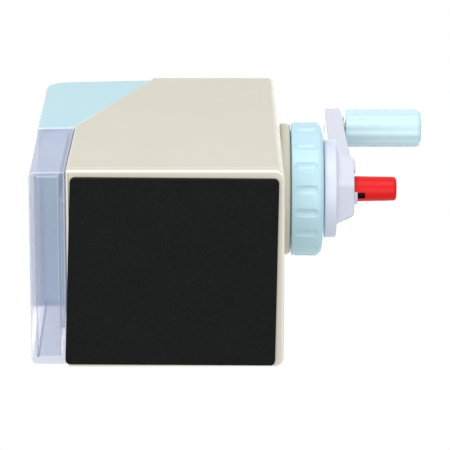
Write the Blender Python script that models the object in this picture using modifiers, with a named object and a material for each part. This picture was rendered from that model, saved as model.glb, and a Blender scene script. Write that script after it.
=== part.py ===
"""Hand-crank desk pencil sharpener, as separate parts that fit and move together.

Metres. X runs from the pencil hole at the front to the crank at the back, Y goes to the
side and Z is up. The origin is the middle of the foam mat's lower face.
"""
from math import acos, atan, cos, pi, radians, sin, tau

import bmesh
import bpy
from mathutils import Matrix, Vector

# ---------------------------------------------------------------- driving dimensions
GAP = 0.0003                # left between two pieces that touch
RUN = 0.0004                # left between two pieces that turn or slide on each other
WELD = 0.00001              # vertices closer than this are one vertex
ROUND = 28                  # sides of an ordinary round piece
FINE = 36                   # sides of a large round piece
SMALL = 12                  # sides of a screw or a pin
ROD_PHASE = radians(4)      # keeps a rod's edges off those of the turned piece it cuts
PAST = 0.001                # cutters and joined shapes reach this far past a face
THROUGH = 0.010             # and this far where they go right through
FACET = 0.3                 # middle of a two-sided round, as a share of its radius

# Body
BODY_LENGTH = 0.0693        # housing along X, at its base
BODY_WIDTH = 0.0660         # housing along Y, at its base
BODY_HEIGHT = 0.1120        # top of the housing above the table
SIDE_DRAFT = 0.0026         # each side leans in by this much at the top
BACK_DRAFT = 0.0017         # the back leans in by this much at the top
CORNER_RADIUS = 0.0031      # upright corners at the back
EDGE_RADIUS = 0.0015        # top edges
WALL = 0.0022               # housing and head wall
SPLIT_HEIGHT = 0.0515       # the head starts here and the drawer ends just below
DRAWER_SEAM_LEAN = 0.0013   # the housing's front edge runs back this far below the split
HEAD_SEAM_LEAN = 0.0250     # and this far above it
FRONT_DEPTH = 0.01165       # drawer face in front of the housing's front edge, at the base
FRONT_LEAN = 0.0100         # the front face runs back by this share of its height
SIDE_TAPER = 0.0524         # drawer and head narrow towards the front by this share
FRONT_EDGE_RADIUS = 0.0020  # drawer and head, upright front corners
HEAD_NOSE_RADIUS = 0.0070   # head, front to top
INSIDE_RADIUS = 0.0006      # least radius of an inside corner

# Underside
MAT_THICKNESS = 0.0022
RIM_HEIGHT = 0.0015         # underside of the base plate's rim above the table
PLATE_THICKNESS = 0.0024
MAT_RECESS = 0.0010         # how deep the mat sits in the base plate
RIM_WIDTH = 0.0008
MAT_CORNER_RADIUS = 0.0016
FRONT_PLATE_RADIUS = 0.0008

# Drawer
DRAWER_WALL = 0.0020
DRAWER_SIDE_ROOM = 0.0092   # from the side of the body to the side of the tub
TUB_HEIGHT = 0.0460         # top edge of the tub above the table
TUB_BACK_ROOM = 0.0087      # from the back of the body to the back of the tub

# Screws in the base and in the head
SCREW_INSET_X = 0.00665     # from the ends of the body
SCREW_INSET_Y = 0.0054      # from the sides of the body
SCREW_RADIUS = 0.0011
SCREW_HEAD_RADIUS = 0.0020
SCREW_HEAD_HEIGHT = 0.0013
SCREW_LENGTH = 0.0080
HEAD_SCREW_LENGTH = 0.0070
SCREW_SEAT = 0.0012         # material under a screw's head
SCREW_BOSS_WALL = 0.0011    # and round it
POST_RADIUS = 0.0033
POST_HEIGHT = 0.0095
POST_OVERLAP = 0.0006       # a head post sinks this far into the side wall
HEAD_TAB_LENGTH = 0.0125    # tabs that reach from the head into the housing
HEAD_TAB_STEP = 0.0002      # and start this far above its floor

# Crank axis and the boss on the back
AXIS_DROP = 0.0299          # crank axis below the top of the body
BOSS_RADIUS = 0.0222
BOSS_LENGTH = 0.0042        # from the back to the boss's face, on the axis
BOSS_EDGE = 0.0012
SLEEVE_RADIUS = 0.0170      # collar's sleeve, in the boss's bore
SLEEVE_WALL = 0.0037
SLEEVE_LENGTH = 0.0109
LUG_HEIGHT = 0.0018
LUG_LENGTH = 0.0026
LUG_HALF_ANGLE = radians(11)
NOTCH_HALF_ANGLE = radians(14)
UNLOCK_ANGLE = radians(40)  # collar's twist from locked to free

# Collar
COLLAR_RADIUS = 0.02266
COLLAR_LENGTH = 0.0108
COLLAR_EDGE = 0.0024
COLLAR_LIP = 0.0004
COLLAR_WALL = 0.0025
COLLAR_END_BORE = 0.0084
FLUTES = 18
FLUTE_RADIUS = 0.0019
FLUTE_DEPTH = 0.0007
FLUTE_LENGTH = 0.0068
FLUTE_PHASE = radians(-2.4)

# Crank
ARM_TILT = radians(5.79)    # the arm stands this far from upright, turned about X
CRANK_RADIUS = 0.0520
HUB_RADIUS = 0.0166
HUB_DISC = 0.0043
HUB_EDGE = 0.0008
HEX_BASE_RADIUS = 0.0148
HEX_END_RADIUS = 0.0113
HEX_LENGTH = 0.0059
HEX_SINK = 0.0005           # how deep the hexagon is joined to the disc
SHAFT_RADIUS = 0.0080
SHAFT_LENGTH = 0.0102
ARM_ROOT_HALF_WIDTH = 0.0076
ARM_TIP_RADIUS = 0.0069
ARM_ROOT_SPAN = (0.0027, 0.0094)    # arm's faces at the hub, from the hub's inner face
ARM_TIP_SPAN = (0.0015, 0.0072)     # and at its tip
ARM_EDGE = 0.0007
INDEX_WALL = 0.0008         # half ring round the knob, on the hub's end
INDEX_HEIGHT = 0.0012
INDEX_MIDDLE = radians(80)
DOT_RADIUS = 0.0021         # raised dot on the hub's end
DOT_HEIGHT = 0.0006
DOT_PLACE = (-0.0066, 0.0030)
GRIP_PIN_RADIUS = 0.0020
GRIP_PIN_HEAD = 0.0015      # length of the pin's head
GRIP_PIN_RIM = 0.0006       # and how far it stands out
GRIP_PIN_INSET = 0.0005     # from the arm's inner face to the pin's end
GRIP_PIN_COVER = 0.0045     # from the pin's head to the grip's end
GRIP_RADIUS = 0.0067
GRIP_LENGTH = 0.0267
GRIP_END_RADIUS = 0.0025
GRIP_LIP = 0.0005
GRIP_FLUTES = 12
GRIP_FLUTE_DEPTH = 0.00025
WASHER_RADIUS = 0.0040
WASHER_THICKNESS = 0.0006
WASHER_ROOM = 0.0007        # from the arm's tip to the washer

# Point adjuster
KNOB_RADIUS = 0.0043
KNOB_REACH = 0.0145         # beyond the hub's end face
KNOB_SOCKET = 0.0046        # and inside the hub
KNOB_END_RADIUS = 0.0013
KNOB_TAPER = 0.92           # radius at its end, as a share
NOTCH_START = 0.0010        # from the hub's end face
NOTCH_LENGTH = 0.0032
NOTCH_WIDTH = 0.0018
NOTCH_DEPTH = 0.0013
ADJUST_TRAVEL = 0.0020
STOP_ROD_RADIUS = 0.0014
STOP_ROD_LAP = 0.0034        # how deep the rod sits in the knob
STOP_ROD_ROOM = 0.0005      # from the carrier to the rod's front end
STOP_FLANGE_RADIUS = 0.0031
STOP_FLANGE = 0.0010
FLANGE_ROOM = 0.0012        # from the flange to the knob's bore
BLADE_REACH = 0.0008        # the blade passes the cone's point by this much
BLADE_HALF_WIDTH = 0.0008
BLADE_SPAN = (0.00035, 0.0010)      # its lower and upper face, above the crank axis
SPRING_WIRE_RADIUS = 0.00035
SPRING_TURNS = 5
SPRING_WALL = 0.0017        # end of the shaft that the spring rests on

# Cutter unit
PENCIL_BORE = 0.0044        # radius of the pencil guide's bore
GUIDE_WALL = 0.0016
GUIDE_LAP = 0.0040          # the guide ends this far inside the carrier
SOCKET_WALL = 0.0028        # tube inside the head that holds the guide
SOCKET_DRAFT = 0.0006
SOCKET_LENGTH = 0.0080
BEZEL_WIDTH = 0.0030        # ring round the pencil hole, beyond the guide
BEZEL_THICKNESS = 0.0010
BEZEL_LIP = 0.0005
CONE_SLOPE = 0.1853         # radius of the sharpened cone for each unit of length
CONE_LAP = 0.0053           # the cone starts this far inside the carrier
APEX_DEPTH = 0.0027         # from the carrier's rear face to the cone's point
CUTTER_RADIUS = 0.0060
CUTTER_LENGTH = 0.0230
CUTTER_TEETH = 12
CUTTER_TOOTH_DEPTH = 0.0008
CUTTER_TOOTH_HALVES = (radians(9), radians(2.5))    # half angles at the root and the edge
CUTTER_LEAD = 0.0002        # the cutter's rear end lies this far behind the cone's point
CUTTER_TWIST = radians(75)
CUTTER_HUB_RADIUS = 0.0018
CUTTER_HUB_HOLE = 0.0051    # length of its hole through the carrier's rear face
CUTTER_SHAFT_RADIUS = 0.0010
CLIP_RADIUS = 0.0020
CLIP_THICKNESS = 0.0005
CLIP_GAP = 0.0012
CARRIER_RADIUS = 0.0105
CARRIER_BACK = 0.0073       # carrier's rear face in front of the boss's face
CARRIER_LENGTH = 0.0313
CHEEK = 0.0047              # front cheek of the carrier
EAR_RADIUS = 0.0032         # lobe round the cutter shaft's front end
NECK_ROOM = 0.0010          # from the carrier's neck to the ring gear's teeth
DRIVE_PLATE = 0.0023        # carrier's plate, screwed to the crank's shaft
DRIVE_PLATE_RIM = 0.0006    # its radius beyond the shaft's
CRANK_SCREW_RADIUS = 0.0009
CRANK_SCREW_HEAD = 0.0019
CRANK_SCREW_HEAD_HEIGHT = 0.0013
CRANK_SCREW_HEAD_ROOM = 0.0012
CRANK_SCREW_OFFSET = (0.0056, -0.0006)
CRANK_SCREW_LENGTH = 0.0066
CRANK_SCREW_WALL = 0.0010   # material under a crank screw's head
PINION_START = 0.0036       # from the cutter's rear end to the pinion
PINION_TEETH = 7
PINION_TOOTH_HALVES = (radians(13), radians(8))
PINION_TIP = 0.0033
PINION_ROOT = 0.0020
PINION_LENGTH = 0.0032
RING_TEETH = 20
RING_GAP_HALVES = (radians(6.4), radians(5.2))
RING_TIP = 0.0076
RING_ROOT = 0.0091
RING_WIDTH = 0.0050
RING_ROOM = 0.0007          # from the ring gear to the carrier's plate

# ---------------------------------------------------------------- derived places
AXIS_HEIGHT = BODY_HEIGHT - AXIS_DROP
PLATE_TOP = RIM_HEIGHT + PLATE_THICKNESS
HOUSING_BOTTOM = PLATE_TOP + GAP
RECESS_TOP = RIM_HEIGHT + MAT_RECESS


def back_x(z):
    """Outside of the back wall at height z."""
    return BODY_LENGTH / 2 - BACK_DRAFT * z / BODY_HEIGHT


def half_width(z):
    """Outside of a side wall at height z."""
    return BODY_WIDTH / 2 - SIDE_DRAFT * z / BODY_HEIGHT


def seam_x(z):
    """Front edge of the housing's sides at height z."""
    if z <= SPLIT_HEIGHT:
        return -BODY_LENGTH / 2 + DRAWER_SEAM_LEAN * z / SPLIT_HEIGHT
    share = (z - SPLIT_HEIGHT) / (BODY_HEIGHT - SPLIT_HEIGHT)
    return -BODY_LENGTH / 2 + DRAWER_SEAM_LEAN + HEAD_SEAM_LEAN * share


def front_x(z):
    """Front face of the drawer and the head at height z."""
    return -BODY_LENGTH / 2 - FRONT_DEPTH + FRONT_LEAN * z


def front_half_width(z):
    """Half width of the front face at height z."""
    return half_width(z) - SIDE_TAPER * (seam_x(z) - front_x(z))


BOSS_FACE = back_x(AXIS_HEIGHT) + BOSS_LENGTH
BOSS_INNER = back_x(AXIS_HEIGHT) - WALL - GAP
COLLAR_FACE = BOSS_FACE + GAP
COLLAR_END = COLLAR_FACE + COLLAR_LENGTH
HUB_FACE = COLLAR_END + GAP
HUB_END = HUB_FACE + HUB_DISC + HEX_LENGTH
SHAFT_END = HUB_FACE - SHAFT_LENGTH
PLATE_BACK = SHAFT_END - GAP
PLATE_FRONT = PLATE_BACK - DRIVE_PLATE
CARRIER_END = BOSS_FACE - CARRIER_BACK
CARRIER_FRONT = CARRIER_END - CARRIER_LENGTH
APEX = CARRIER_END - APEX_DEPTH
RING_END = PLATE_FRONT - RING_ROOM
RING_START = RING_END - RING_WIDTH
GUIDE_RADIUS = PENCIL_BORE + GUIDE_WALL
GUIDE_END = CARRIER_FRONT + GUIDE_LAP
SLEEVE_BORE = SLEEVE_RADIUS - SLEEVE_WALL
CUTTER_TILT = atan(CONE_SLOPE)
STOP_BORE = STOP_ROD_RADIUS + GAP

# ---------------------------------------------------------------- collections and finishes
for old in list(bpy.data.objects):
    bpy.data.objects.remove(old)

parts = bpy.data.collections.new("pencil_sharpener")
tools = bpy.data.collections.new("cutters")
for group in (parts, tools):
    bpy.context.scene.collection.children.link(group)


def finish(name, colour, roughness=0.4, metallic=0.0):
    """A plain material with one colour."""
    material = bpy.data.materials.new(name)
    material.use_nodes = True
    shader = material.node_tree.nodes["Principled BSDF"]
    shader.inputs["Base Color"].default_value = (*colour, 1.0)
    shader.inputs["Roughness"].default_value = roughness
    shader.inputs["Metallic"].default_value = metallic
    return material


BEIGE = finish("beige_plastic", (0.72, 0.69, 0.58))
CYAN = finish("pale_cyan_plastic", (0.56, 0.80, 0.88), 0.3)
LAVENDER = finish("lavender_translucent", (0.50, 0.56, 0.85), 0.2)
ICE = finish("ice_blue_translucent", (0.62, 0.86, 0.94), 0.25)
WHITE = finish("white_plastic", (0.82, 0.84, 0.92), 0.35)
RED = finish("red_plastic", (0.75, 0.015, 0.02), 0.3)
FOAM = finish("black_foam", (0.011, 0.013, 0.013), 0.95)
STEEL = finish("steel", (0.60, 0.60, 0.62), 0.3, 1.0)
TOOL_STEEL = finish("tool_steel", (0.32, 0.32, 0.34), 0.35, 1.0)
ZINC = finish("die_cast_zinc", (0.45, 0.45, 0.47), 0.5, 1.0)
GEAR = finish("gear_nylon", (0.75, 0.74, 0.70), 0.5)


# ---------------------------------------------------------------- axes that pieces turn on
def axis(name, place, parent=None):
    """An empty on a joint's axis, for the pieces that turn on it."""
    empty = bpy.data.objects.new(name, None)
    empty.empty_display_size = 0.01
    parts.objects.link(empty)
    empty.parent = parent
    empty.matrix_local = place
    return empty


def cutter_offset(x):
    """Distance from the crank axis to the cutter's axis at x."""
    return CUTTER_RADIUS / cos(CUTTER_TILT) + (APEX - x) * CONE_SLOPE


CUTTER_ORIGIN = APEX + CUTTER_LEAD
collar_axis = axis("collar_axis", Matrix.Translation((0, 0, AXIS_HEIGHT)))
crank_axis = axis("crank_axis", Matrix.Rotation(ARM_TILT, 4, "X"), collar_axis)
grip_axis = axis("grip_axis", Matrix.Translation((0, 0, CRANK_RADIUS)), crank_axis)
cutter_axis = axis(
    "cutter_axis",
    Matrix.Translation((CUTTER_ORIGIN, 0, -cutter_offset(CUTTER_ORIGIN)))
    @ Matrix.Rotation(-CUTTER_TILT, 4, "Y"),
    crank_axis,
)


# ---------------------------------------------------------------- shapes
def as_tool(name, mesh, frame):
    """A new object in the cutters' collection, hidden from renders."""
    obj = bpy.data.objects.new(name, mesh)
    obj.parent = frame
    obj.hide_render = True
    obj.display_type = "WIRE"
    tools.objects.link(obj)
    return obj


def from_bmesh(name, bm, frame):
    """Weld, turn the faces outwards and make an object."""
    bmesh.ops.remove_doubles(bm, verts=bm.verts, dist=WELD)
    bmesh.ops.recalc_face_normals(bm, faces=bm.faces)
    mesh = bpy.data.meshes.new(name)
    bm.to_mesh(mesh)
    bm.free()
    return as_tool(name, mesh, frame)


def baked(source, name, frame, place=Matrix()):
    """The closed mesh that a curve or a stack of modifiers makes."""
    bpy.context.view_layer.update()
    depsgraph = bpy.context.evaluated_depsgraph_get()
    mesh = bpy.data.meshes.new_from_object(source.evaluated_get(depsgraph))
    bpy.data.objects.remove(source)
    mesh.transform(place)
    bm = bmesh.new()
    bm.from_mesh(mesh)
    bpy.data.meshes.remove(mesh)
    return from_bmesh(name, bm, frame)


def block(name, corner, frame=None):
    """A six-sided block: corner(sx, sy, sz) places the corner with those signs."""
    bm = bmesh.new()
    bmesh.ops.create_cube(bm, size=2)
    for vert in bm.verts:
        vert.co = Vector(corner(*(1 if c > 0 else -1 for c in vert.co)))
    return from_bmesh(name, bm, frame)


def box(name, low, high, frame=None):
    """A straight box between two corners."""
    middle = [(a + b) / 2 for a, b in zip(low, high)]
    half = [(b - a) / 2 for a, b in zip(low, high)]
    return block(name, lambda *signs: [m + h * s for m, h, s in zip(middle, half, signs)], frame)


def turned(name, profile, frame=None, sides=ROUND):
    """A solid of revolution about X from (x, radius) points."""
    closed = min(radius for _, radius in profile) > 0
    count = len(profile)
    edges = [(i, (i + 1) % count) for i in range(count if closed else count - 1)]
    mesh = bpy.data.meshes.new(name)
    mesh.from_pydata([(x, 0, radius) for x, radius in profile], edges, [])
    lathe = as_tool(name, mesh, None)
    screw = lathe.modifiers.new("Turn", "SCREW")
    screw.axis = "X"
    screw.steps = screw.render_steps = sides
    screw.use_merge_vertices = True
    screw.merge_threshold = WELD
    return baked(lathe, name, frame)


def rod(name, start, end, radius, frame=None, sides=SMALL, y=0.0, z=0.0):
    """A round bar along X."""
    bar = turned(name, [(start, 0), (start, radius), (end, radius), (end, 0)], frame, sides)
    bar.data.transform(Matrix.Translation((0, y, z)) @ Matrix.Rotation(ROD_PHASE, 4, "X"))
    return bar


def post(name, x, y, bottom, top, radius, sides=SMALL):
    """A round bar along Z."""
    bar = rod(name, bottom, top, radius, None, sides)
    bar.data.transform(Matrix.Translation((x, y, 0)) @ Matrix.Rotation(-pi / 2, 4, "Y"))
    return bar


def prism(name, outline, start, end, frame=None, upright=False):
    """An outline of (y, z) points drawn along X, or of (x, z) points drawn along Y."""
    curve = bpy.data.curves.new(name, "CURVE")
    curve.dimensions = "2D"
    curve.fill_mode = "BOTH"
    curve.extrude = (end - start) / 2
    spline = curve.splines.new("POLY")
    spline.points.add(len(outline) - 1)
    for point, (a, b) in zip(spline.points, outline):
        point.co = (a, b, 0, 1)
    spline.use_cyclic_u = True
    source = as_tool(name, curve, None)
    middle = (start + end) / 2
    if upright:
        place = Matrix(((1, 0, 0, 0), (0, 0, 1, middle), (0, 1, 0, 0), (0, 0, 0, 1)))
    else:
        place = Matrix(((0, 0, 1, middle), (1, 0, 0, 0), (0, 1, 0, 0), (0, 0, 0, 1)))
    return baked(source, name, frame, place)


def drawn(name, outline, stations, frame=None):
    """An outline of (y, z) points extruded along X through (x, scale, turn) stations."""
    def place(station):
        x, size, turn = station
        return Matrix.Translation((x, 0, 0)) @ Matrix.Rotation(turn, 4, "X") @ Matrix.Scale(size, 4)

    bm = bmesh.new()
    old = place(stations[0])
    face = bm.faces.new([bm.verts.new(old @ Vector((0, y, z))) for y, z in outline])
    for index, station in enumerate(stations[1:]):
        grown = bmesh.ops.extrude_face_region(bm, geom=[face])["geom"]
        if index > 0:
            bmesh.ops.delete(bm, geom=[face], context="FACES_ONLY")
        verts = [item for item in grown if isinstance(item, bmesh.types.BMVert)]
        face = next(item for item in grown if isinstance(item, bmesh.types.BMFace))
        new = place(station)
        bmesh.ops.transform(bm, matrix=new @ old.inverted(), verts=verts)
        old = new
    return from_bmesh(name, bm, frame)


def polar(radius, angle):
    """(y, z) of a point at this angle from straight down, counted towards +Y."""
    return radius * sin(angle), -radius * cos(angle)


def sector(name, inner, outer, middle, half_angle, start, end, frame=None):
    """Part of a ring about X, centred on an angle."""
    steps = 6
    angles = [middle + half_angle * (2 * i / steps - 1) for i in range(steps + 1)]
    outline = [polar(outer, a) for a in angles] + [polar(inner, a) for a in reversed(angles)]
    return prism(name, outline, start, end, frame)


def notched_circle(radius, notch_radius, phase, half_angle, notches=3):
    """A round outline with equal notches, the first of them centred on phase."""
    pitch = tau / notches
    outline = []
    for index in range(notches):
        middle = phase + pitch * index
        outline += [polar(notch_radius, middle + half_angle * step / 3) for step in range(-3, 4)]
        start, end = middle + half_angle, middle + pitch - half_angle
        outline += [polar(radius, start + (end - start) * step / 12) for step in range(13)]
    return outline


def round_edges(obj, chosen, radius, segments=3):
    """Bevel the edges for which chosen(edge) is true."""
    bm = bmesh.new()
    bm.from_mesh(obj.data)
    edges = [edge for edge in bm.edges if chosen(edge)]
    bmesh.ops.bevel(bm, geom=edges, offset=radius, segments=segments, profile=0.5, affect="EDGES")
    bmesh.ops.recalc_face_normals(bm, faces=bm.faces)
    bm.to_mesh(obj.data)
    bm.free()


def slant(edge):
    """Unit direction of an edge, in absolute numbers."""
    direction = (edge.verts[1].co - edge.verts[0].co).normalized()
    return Vector([abs(c) for c in direction])


def faces_side(edge):
    """Whether one of the edge's faces looks to the side."""
    return sum(abs(face.normal.y) > 0.9 for face in edge.link_faces) == 1


def combine(obj, tool, operation):
    """A Boolean modifier that joins or cuts with another object."""
    modifier = obj.modifiers.new(tool.name, "BOOLEAN")
    modifier.operation = operation
    modifier.object = tool


def cut(obj, *cutters):
    for cutter in cutters:
        combine(obj, cutter, "DIFFERENCE")


def join(obj, *others):
    for other in others:
        combine(obj, other, "UNION")


def allow_grazing(obj):
    """Use the other solver where cuts graze each other and the exact one leaves a gap."""
    for modifier in obj.modifiers:
        modifier.solver = "MANIFOLD"


def as_part(obj, name, material):
    """Move a finished shape from the cutters to the object's parts."""
    tools.objects.unlink(obj)
    parts.objects.link(obj)
    obj.name = name
    obj.data.name = name
    obj.hide_render = False
    obj.display_type = "TEXTURED"
    obj.data.materials.clear()
    obj.data.materials.append(material)
    obj.data.shade_smooth()
    obj.data.set_sharp_from_angle(angle=radians(32))
    weld = obj.modifiers.new("Weld", "WELD")
    weld.merge_threshold = WELD / 10
    return obj


# ---------------------------------------------------------------- body shell
def body_block(name, inset, bottom, top):
    """The tapered body, or its inside when inset is a wall's thickness."""
    def corner(sx, sy, sz):
        z = top if sz > 0 else bottom
        x = back_x(z) - inset if sx > 0 else front_x(z)
        return x, sy * (half_width(z) - inset), z

    solid = block(name, corner)
    radius = max(CORNER_RADIUS - inset, EDGE_RADIUS / 2)
    round_edges(solid, lambda e: slant(e).z > 0.9 and min(v.co.x for v in e.verts) > 0, radius)
    if inset == 0:
        round_edges(solid, lambda e: min(v.co.z for v in e.verts) > top - WELD
                    and any(abs(f.normal.z) < 0.5 for f in e.link_faces), EDGE_RADIUS, 2)
    return solid


def front_cutter(name, shift):
    """Everything in front of the housing's front edge, moved back by shift."""
    low, high = -THROUGH, BODY_HEIGHT + THROUGH
    far = front_x(0) - THROUGH
    slope = HEAD_SEAM_LEAN / (BODY_HEIGHT - SPLIT_HEIGHT)
    outline = [
        (far, low),
        (-BODY_LENGTH / 2 + shift + DRAWER_SEAM_LEAN * low / SPLIT_HEIGHT, low),
        (seam_x(SPLIT_HEIGHT) + shift, SPLIT_HEIGHT),
        (seam_x(BODY_HEIGHT) + shift + slope * (high - BODY_HEIGHT), high),
        (far, high),
    ]
    return prism(name, outline, -BODY_WIDTH, BODY_WIDTH, None, upright=True)


def screw_places():
    """Centres of the four base screws."""
    x = BODY_LENGTH / 2 - SCREW_INSET_X
    y = BODY_WIDTH / 2 - SCREW_INSET_Y
    return [(sx * x, sy * y) for sx in (-1, 1) for sy in (-1, 1)]


def head_screw_places():
    """Centres of the two screws that hold the head."""
    x = seam_x(SPLIT_HEIGHT) + HEAD_TAB_LENGTH - POST_RADIUS
    y = half_width(SPLIT_HEIGHT) - WALL - POST_RADIUS + POST_OVERLAP
    return [(x, -y), (x, y)]


SEAT_TOP = RECESS_TOP + GAP + SCREW_HEAD_HEIGHT + GAP + SCREW_SEAT
POST_BOTTOM = SEAT_TOP + GAP
TAB_BOTTOM = SPLIT_HEIGHT + HEAD_TAB_STEP
TAB_TOP = TAB_BOTTOM + WALL


def make_housing():
    shell = body_block("housing_outside", 0.0, HOUSING_BOTTOM, BODY_HEIGHT)
    cut(shell, front_cutter("housing_front_cut", 0.0))
    cut(shell, body_block("housing_inside", WALL, -THROUGH, BODY_HEIGHT - WALL))
    boss = turned("boss", [
        (BOSS_INNER, SLEEVE_RADIUS - PAST), (BOSS_INNER, BOSS_RADIUS),
        (BOSS_FACE - BOSS_EDGE, BOSS_RADIUS),
        (BOSS_FACE - FACET * BOSS_EDGE, BOSS_RADIUS - FACET * BOSS_EDGE),
        (BOSS_FACE, BOSS_RADIUS - BOSS_EDGE), (BOSS_FACE, SLEEVE_RADIUS - PAST),
    ], collar_axis, FINE)
    join(shell, boss)
    for index, (x, y) in enumerate(screw_places()):
        join(shell, post(f"post_{index}", x, y, POST_BOTTOM, POST_BOTTOM + POST_HEIGHT, POST_RADIUS))
    for index, (x, y) in enumerate(head_screw_places()):
        start = TAB_TOP + GAP
        join(shell, post(f"head_post_{index}", x, y, start, start + POST_HEIGHT, POST_RADIUS))
    bore = notched_circle(SLEEVE_RADIUS + RUN, SLEEVE_RADIUS + LUG_HEIGHT + RUN, UNLOCK_ANGLE,
                          NOTCH_HALF_ANGLE)
    cut(shell, prism("boss_bore", bore, BOSS_INNER - THROUGH, BOSS_FACE + THROUGH, collar_axis))
    pilot = SCREW_RADIUS + GAP
    for index, (x, y) in enumerate(screw_places()):
        cut(shell, post(f"pilot_{index}", x, y, POST_BOTTOM - PAST, POST_BOTTOM + SCREW_LENGTH, pilot))
    for index, (x, y) in enumerate(head_screw_places()):
        cut(shell, post(f"head_pilot_{index}", x, y, TAB_TOP, TAB_TOP + SCREW_LENGTH, pilot))
    allow_grazing(shell)
    return as_part(shell, "housing", BEIGE)


def make_base_plate():
    def corner(sx, sy, sz):
        z = PLATE_TOP if sz > 0 else RIM_HEIGHT
        return BODY_LENGTH / 2 if sx > 0 else seam_x(z), sy * BODY_WIDTH / 2, z

    plate = block("plate", corner)
    round_edges(plate, lambda e: slant(e).z > 0.9 and e.verts[0].co.x > 0, CORNER_RADIUS)
    round_edges(plate, lambda e: slant(e).z > 0.9 and e.verts[0].co.x < 0
                and len(e.link_faces) == 2, FRONT_PLATE_RADIUS, 2)
    cut(plate, mat_block("mat_recess", GAP, -PAST, RECESS_TOP))
    for index, (x, y) in enumerate(screw_places()):
        join(plate, post(f"plate_boss_{index}", x, y, RECESS_TOP + GAP, SEAT_TOP,
                         SCREW_HEAD_RADIUS + SCREW_BOSS_WALL))
    inside = half_width(POST_BOTTOM) - WALL - GAP
    for side in (-1, 1):
        low_y, high_y = sorted((side * inside, side * BODY_WIDTH))
        cut(plate, box(f"wall_room_{side}", (-BODY_LENGTH, low_y, PLATE_TOP),
                       (BODY_LENGTH, high_y, PLATE_TOP + THROUGH)))
    for index, (x, y) in enumerate(screw_places()):
        head_room = SEAT_TOP - SCREW_SEAT
        cut(plate, post(f"counterbore_{index}", x, y, RECESS_TOP - PAST, head_room,
                        SCREW_HEAD_RADIUS + GAP))
        cut(plate, post(f"plate_hole_{index}", x, y, head_room - PAST, SEAT_TOP + PAST,
                        SCREW_RADIUS + GAP))
    return as_part(plate, "base_plate", BEIGE)


def mat_block(name, extra, bottom, top):
    """The mat's outline with something added all round."""
    x = BODY_LENGTH / 2 - RIM_WIDTH - GAP + extra
    y = BODY_WIDTH / 2 - RIM_WIDTH - GAP + extra
    mat = box(name, (-x, -y, bottom), (x, y, top))
    round_edges(mat, lambda e: slant(e).z > 0.9, MAT_CORNER_RADIUS)
    return mat


def make_mat():
    return as_part(mat_block("mat", 0.0, 0.0, MAT_THICKNESS), "foam_mat", FOAM)


# ---------------------------------------------------------------- head and drawer
def front_block(name, inset, bottom, top, back_shift):
    """The part of the body in front of the seam, or its inside."""
    def corner(sx, sy, sz):
        z = top if sz > 0 else bottom
        if sx < 0:
            return front_x(z) + inset, sy * (front_half_width(z) - inset), z
        return seam_x(z) - GAP + back_shift, sy * (half_width(z) - inset), z

    return block(name, corner)


def head_block(name, inset, back_shift):
    floor = SPLIT_HEIGHT + inset
    top = BODY_HEIGHT - inset
    head = front_block(name, inset, floor, top, back_shift)
    nose = HEAD_NOSE_RADIUS - inset
    round_edges(head, lambda e: slant(e).y > 0.9
                and all(v.co.z > top - WELD and v.co.x < front_x(top) + inset + WELD
                        for v in e.verts), nose, 4)
    radius = max(FRONT_EDGE_RADIUS - inset, INSIDE_RADIUS)
    round_edges(head, lambda e: faces_side(e) and not any(
        f.normal.x > 0.5 or f.normal.z < -0.9 for f in e.link_faces), radius, 2)
    return head


def make_head():
    head = head_block("head_outside", 0.0, 0.0)
    cut(head, head_block("head_inside", WALL, THROUGH))
    for index, (x, y) in enumerate(head_screw_places()):
        side = 1 if y > 0 else -1
        outer = half_width(SPLIT_HEIGHT) - WALL - RUN
        inner = outer - 2 * POST_RADIUS
        low_y, high_y = sorted((side * inner, side * outer))
        start = seam_x(SPLIT_HEIGHT) - 2 * PAST
        end = seam_x(SPLIT_HEIGHT) + HEAD_TAB_LENGTH
        join(head, box(f"head_tab_{index}", (start, low_y, TAB_BOTTOM), (end, high_y, TAB_TOP)))
    start = front_x(AXIS_HEIGHT) + PAST
    end = start + SOCKET_LENGTH
    outside = GUIDE_RADIUS + SOCKET_WALL
    tube = turned("guide_socket", [
        (start, GUIDE_RADIUS), (start, outside), (end, outside - SOCKET_DRAFT), (end, GUIDE_RADIUS),
    ], collar_axis)
    join(head, tube)
    cut(head, rod("guide_hole", front_x(0) - THROUGH, seam_x(BODY_HEIGHT), GUIDE_RADIUS + GAP,
                  collar_axis, ROUND))
    for index, (x, y) in enumerate(head_screw_places()):
        cut(head, post(f"tab_hole_{index}", x, y, SPLIT_HEIGHT - PAST, TAB_TOP + PAST,
                       SCREW_RADIUS + GAP))
        cut(head, post(f"tab_counterbore_{index}", x, y, SPLIT_HEIGHT - PAST,
                       TAB_TOP - SCREW_SEAT, SCREW_HEAD_RADIUS + GAP))
    allow_grazing(head)
    return as_part(head, "head_cover", CYAN)


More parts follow.
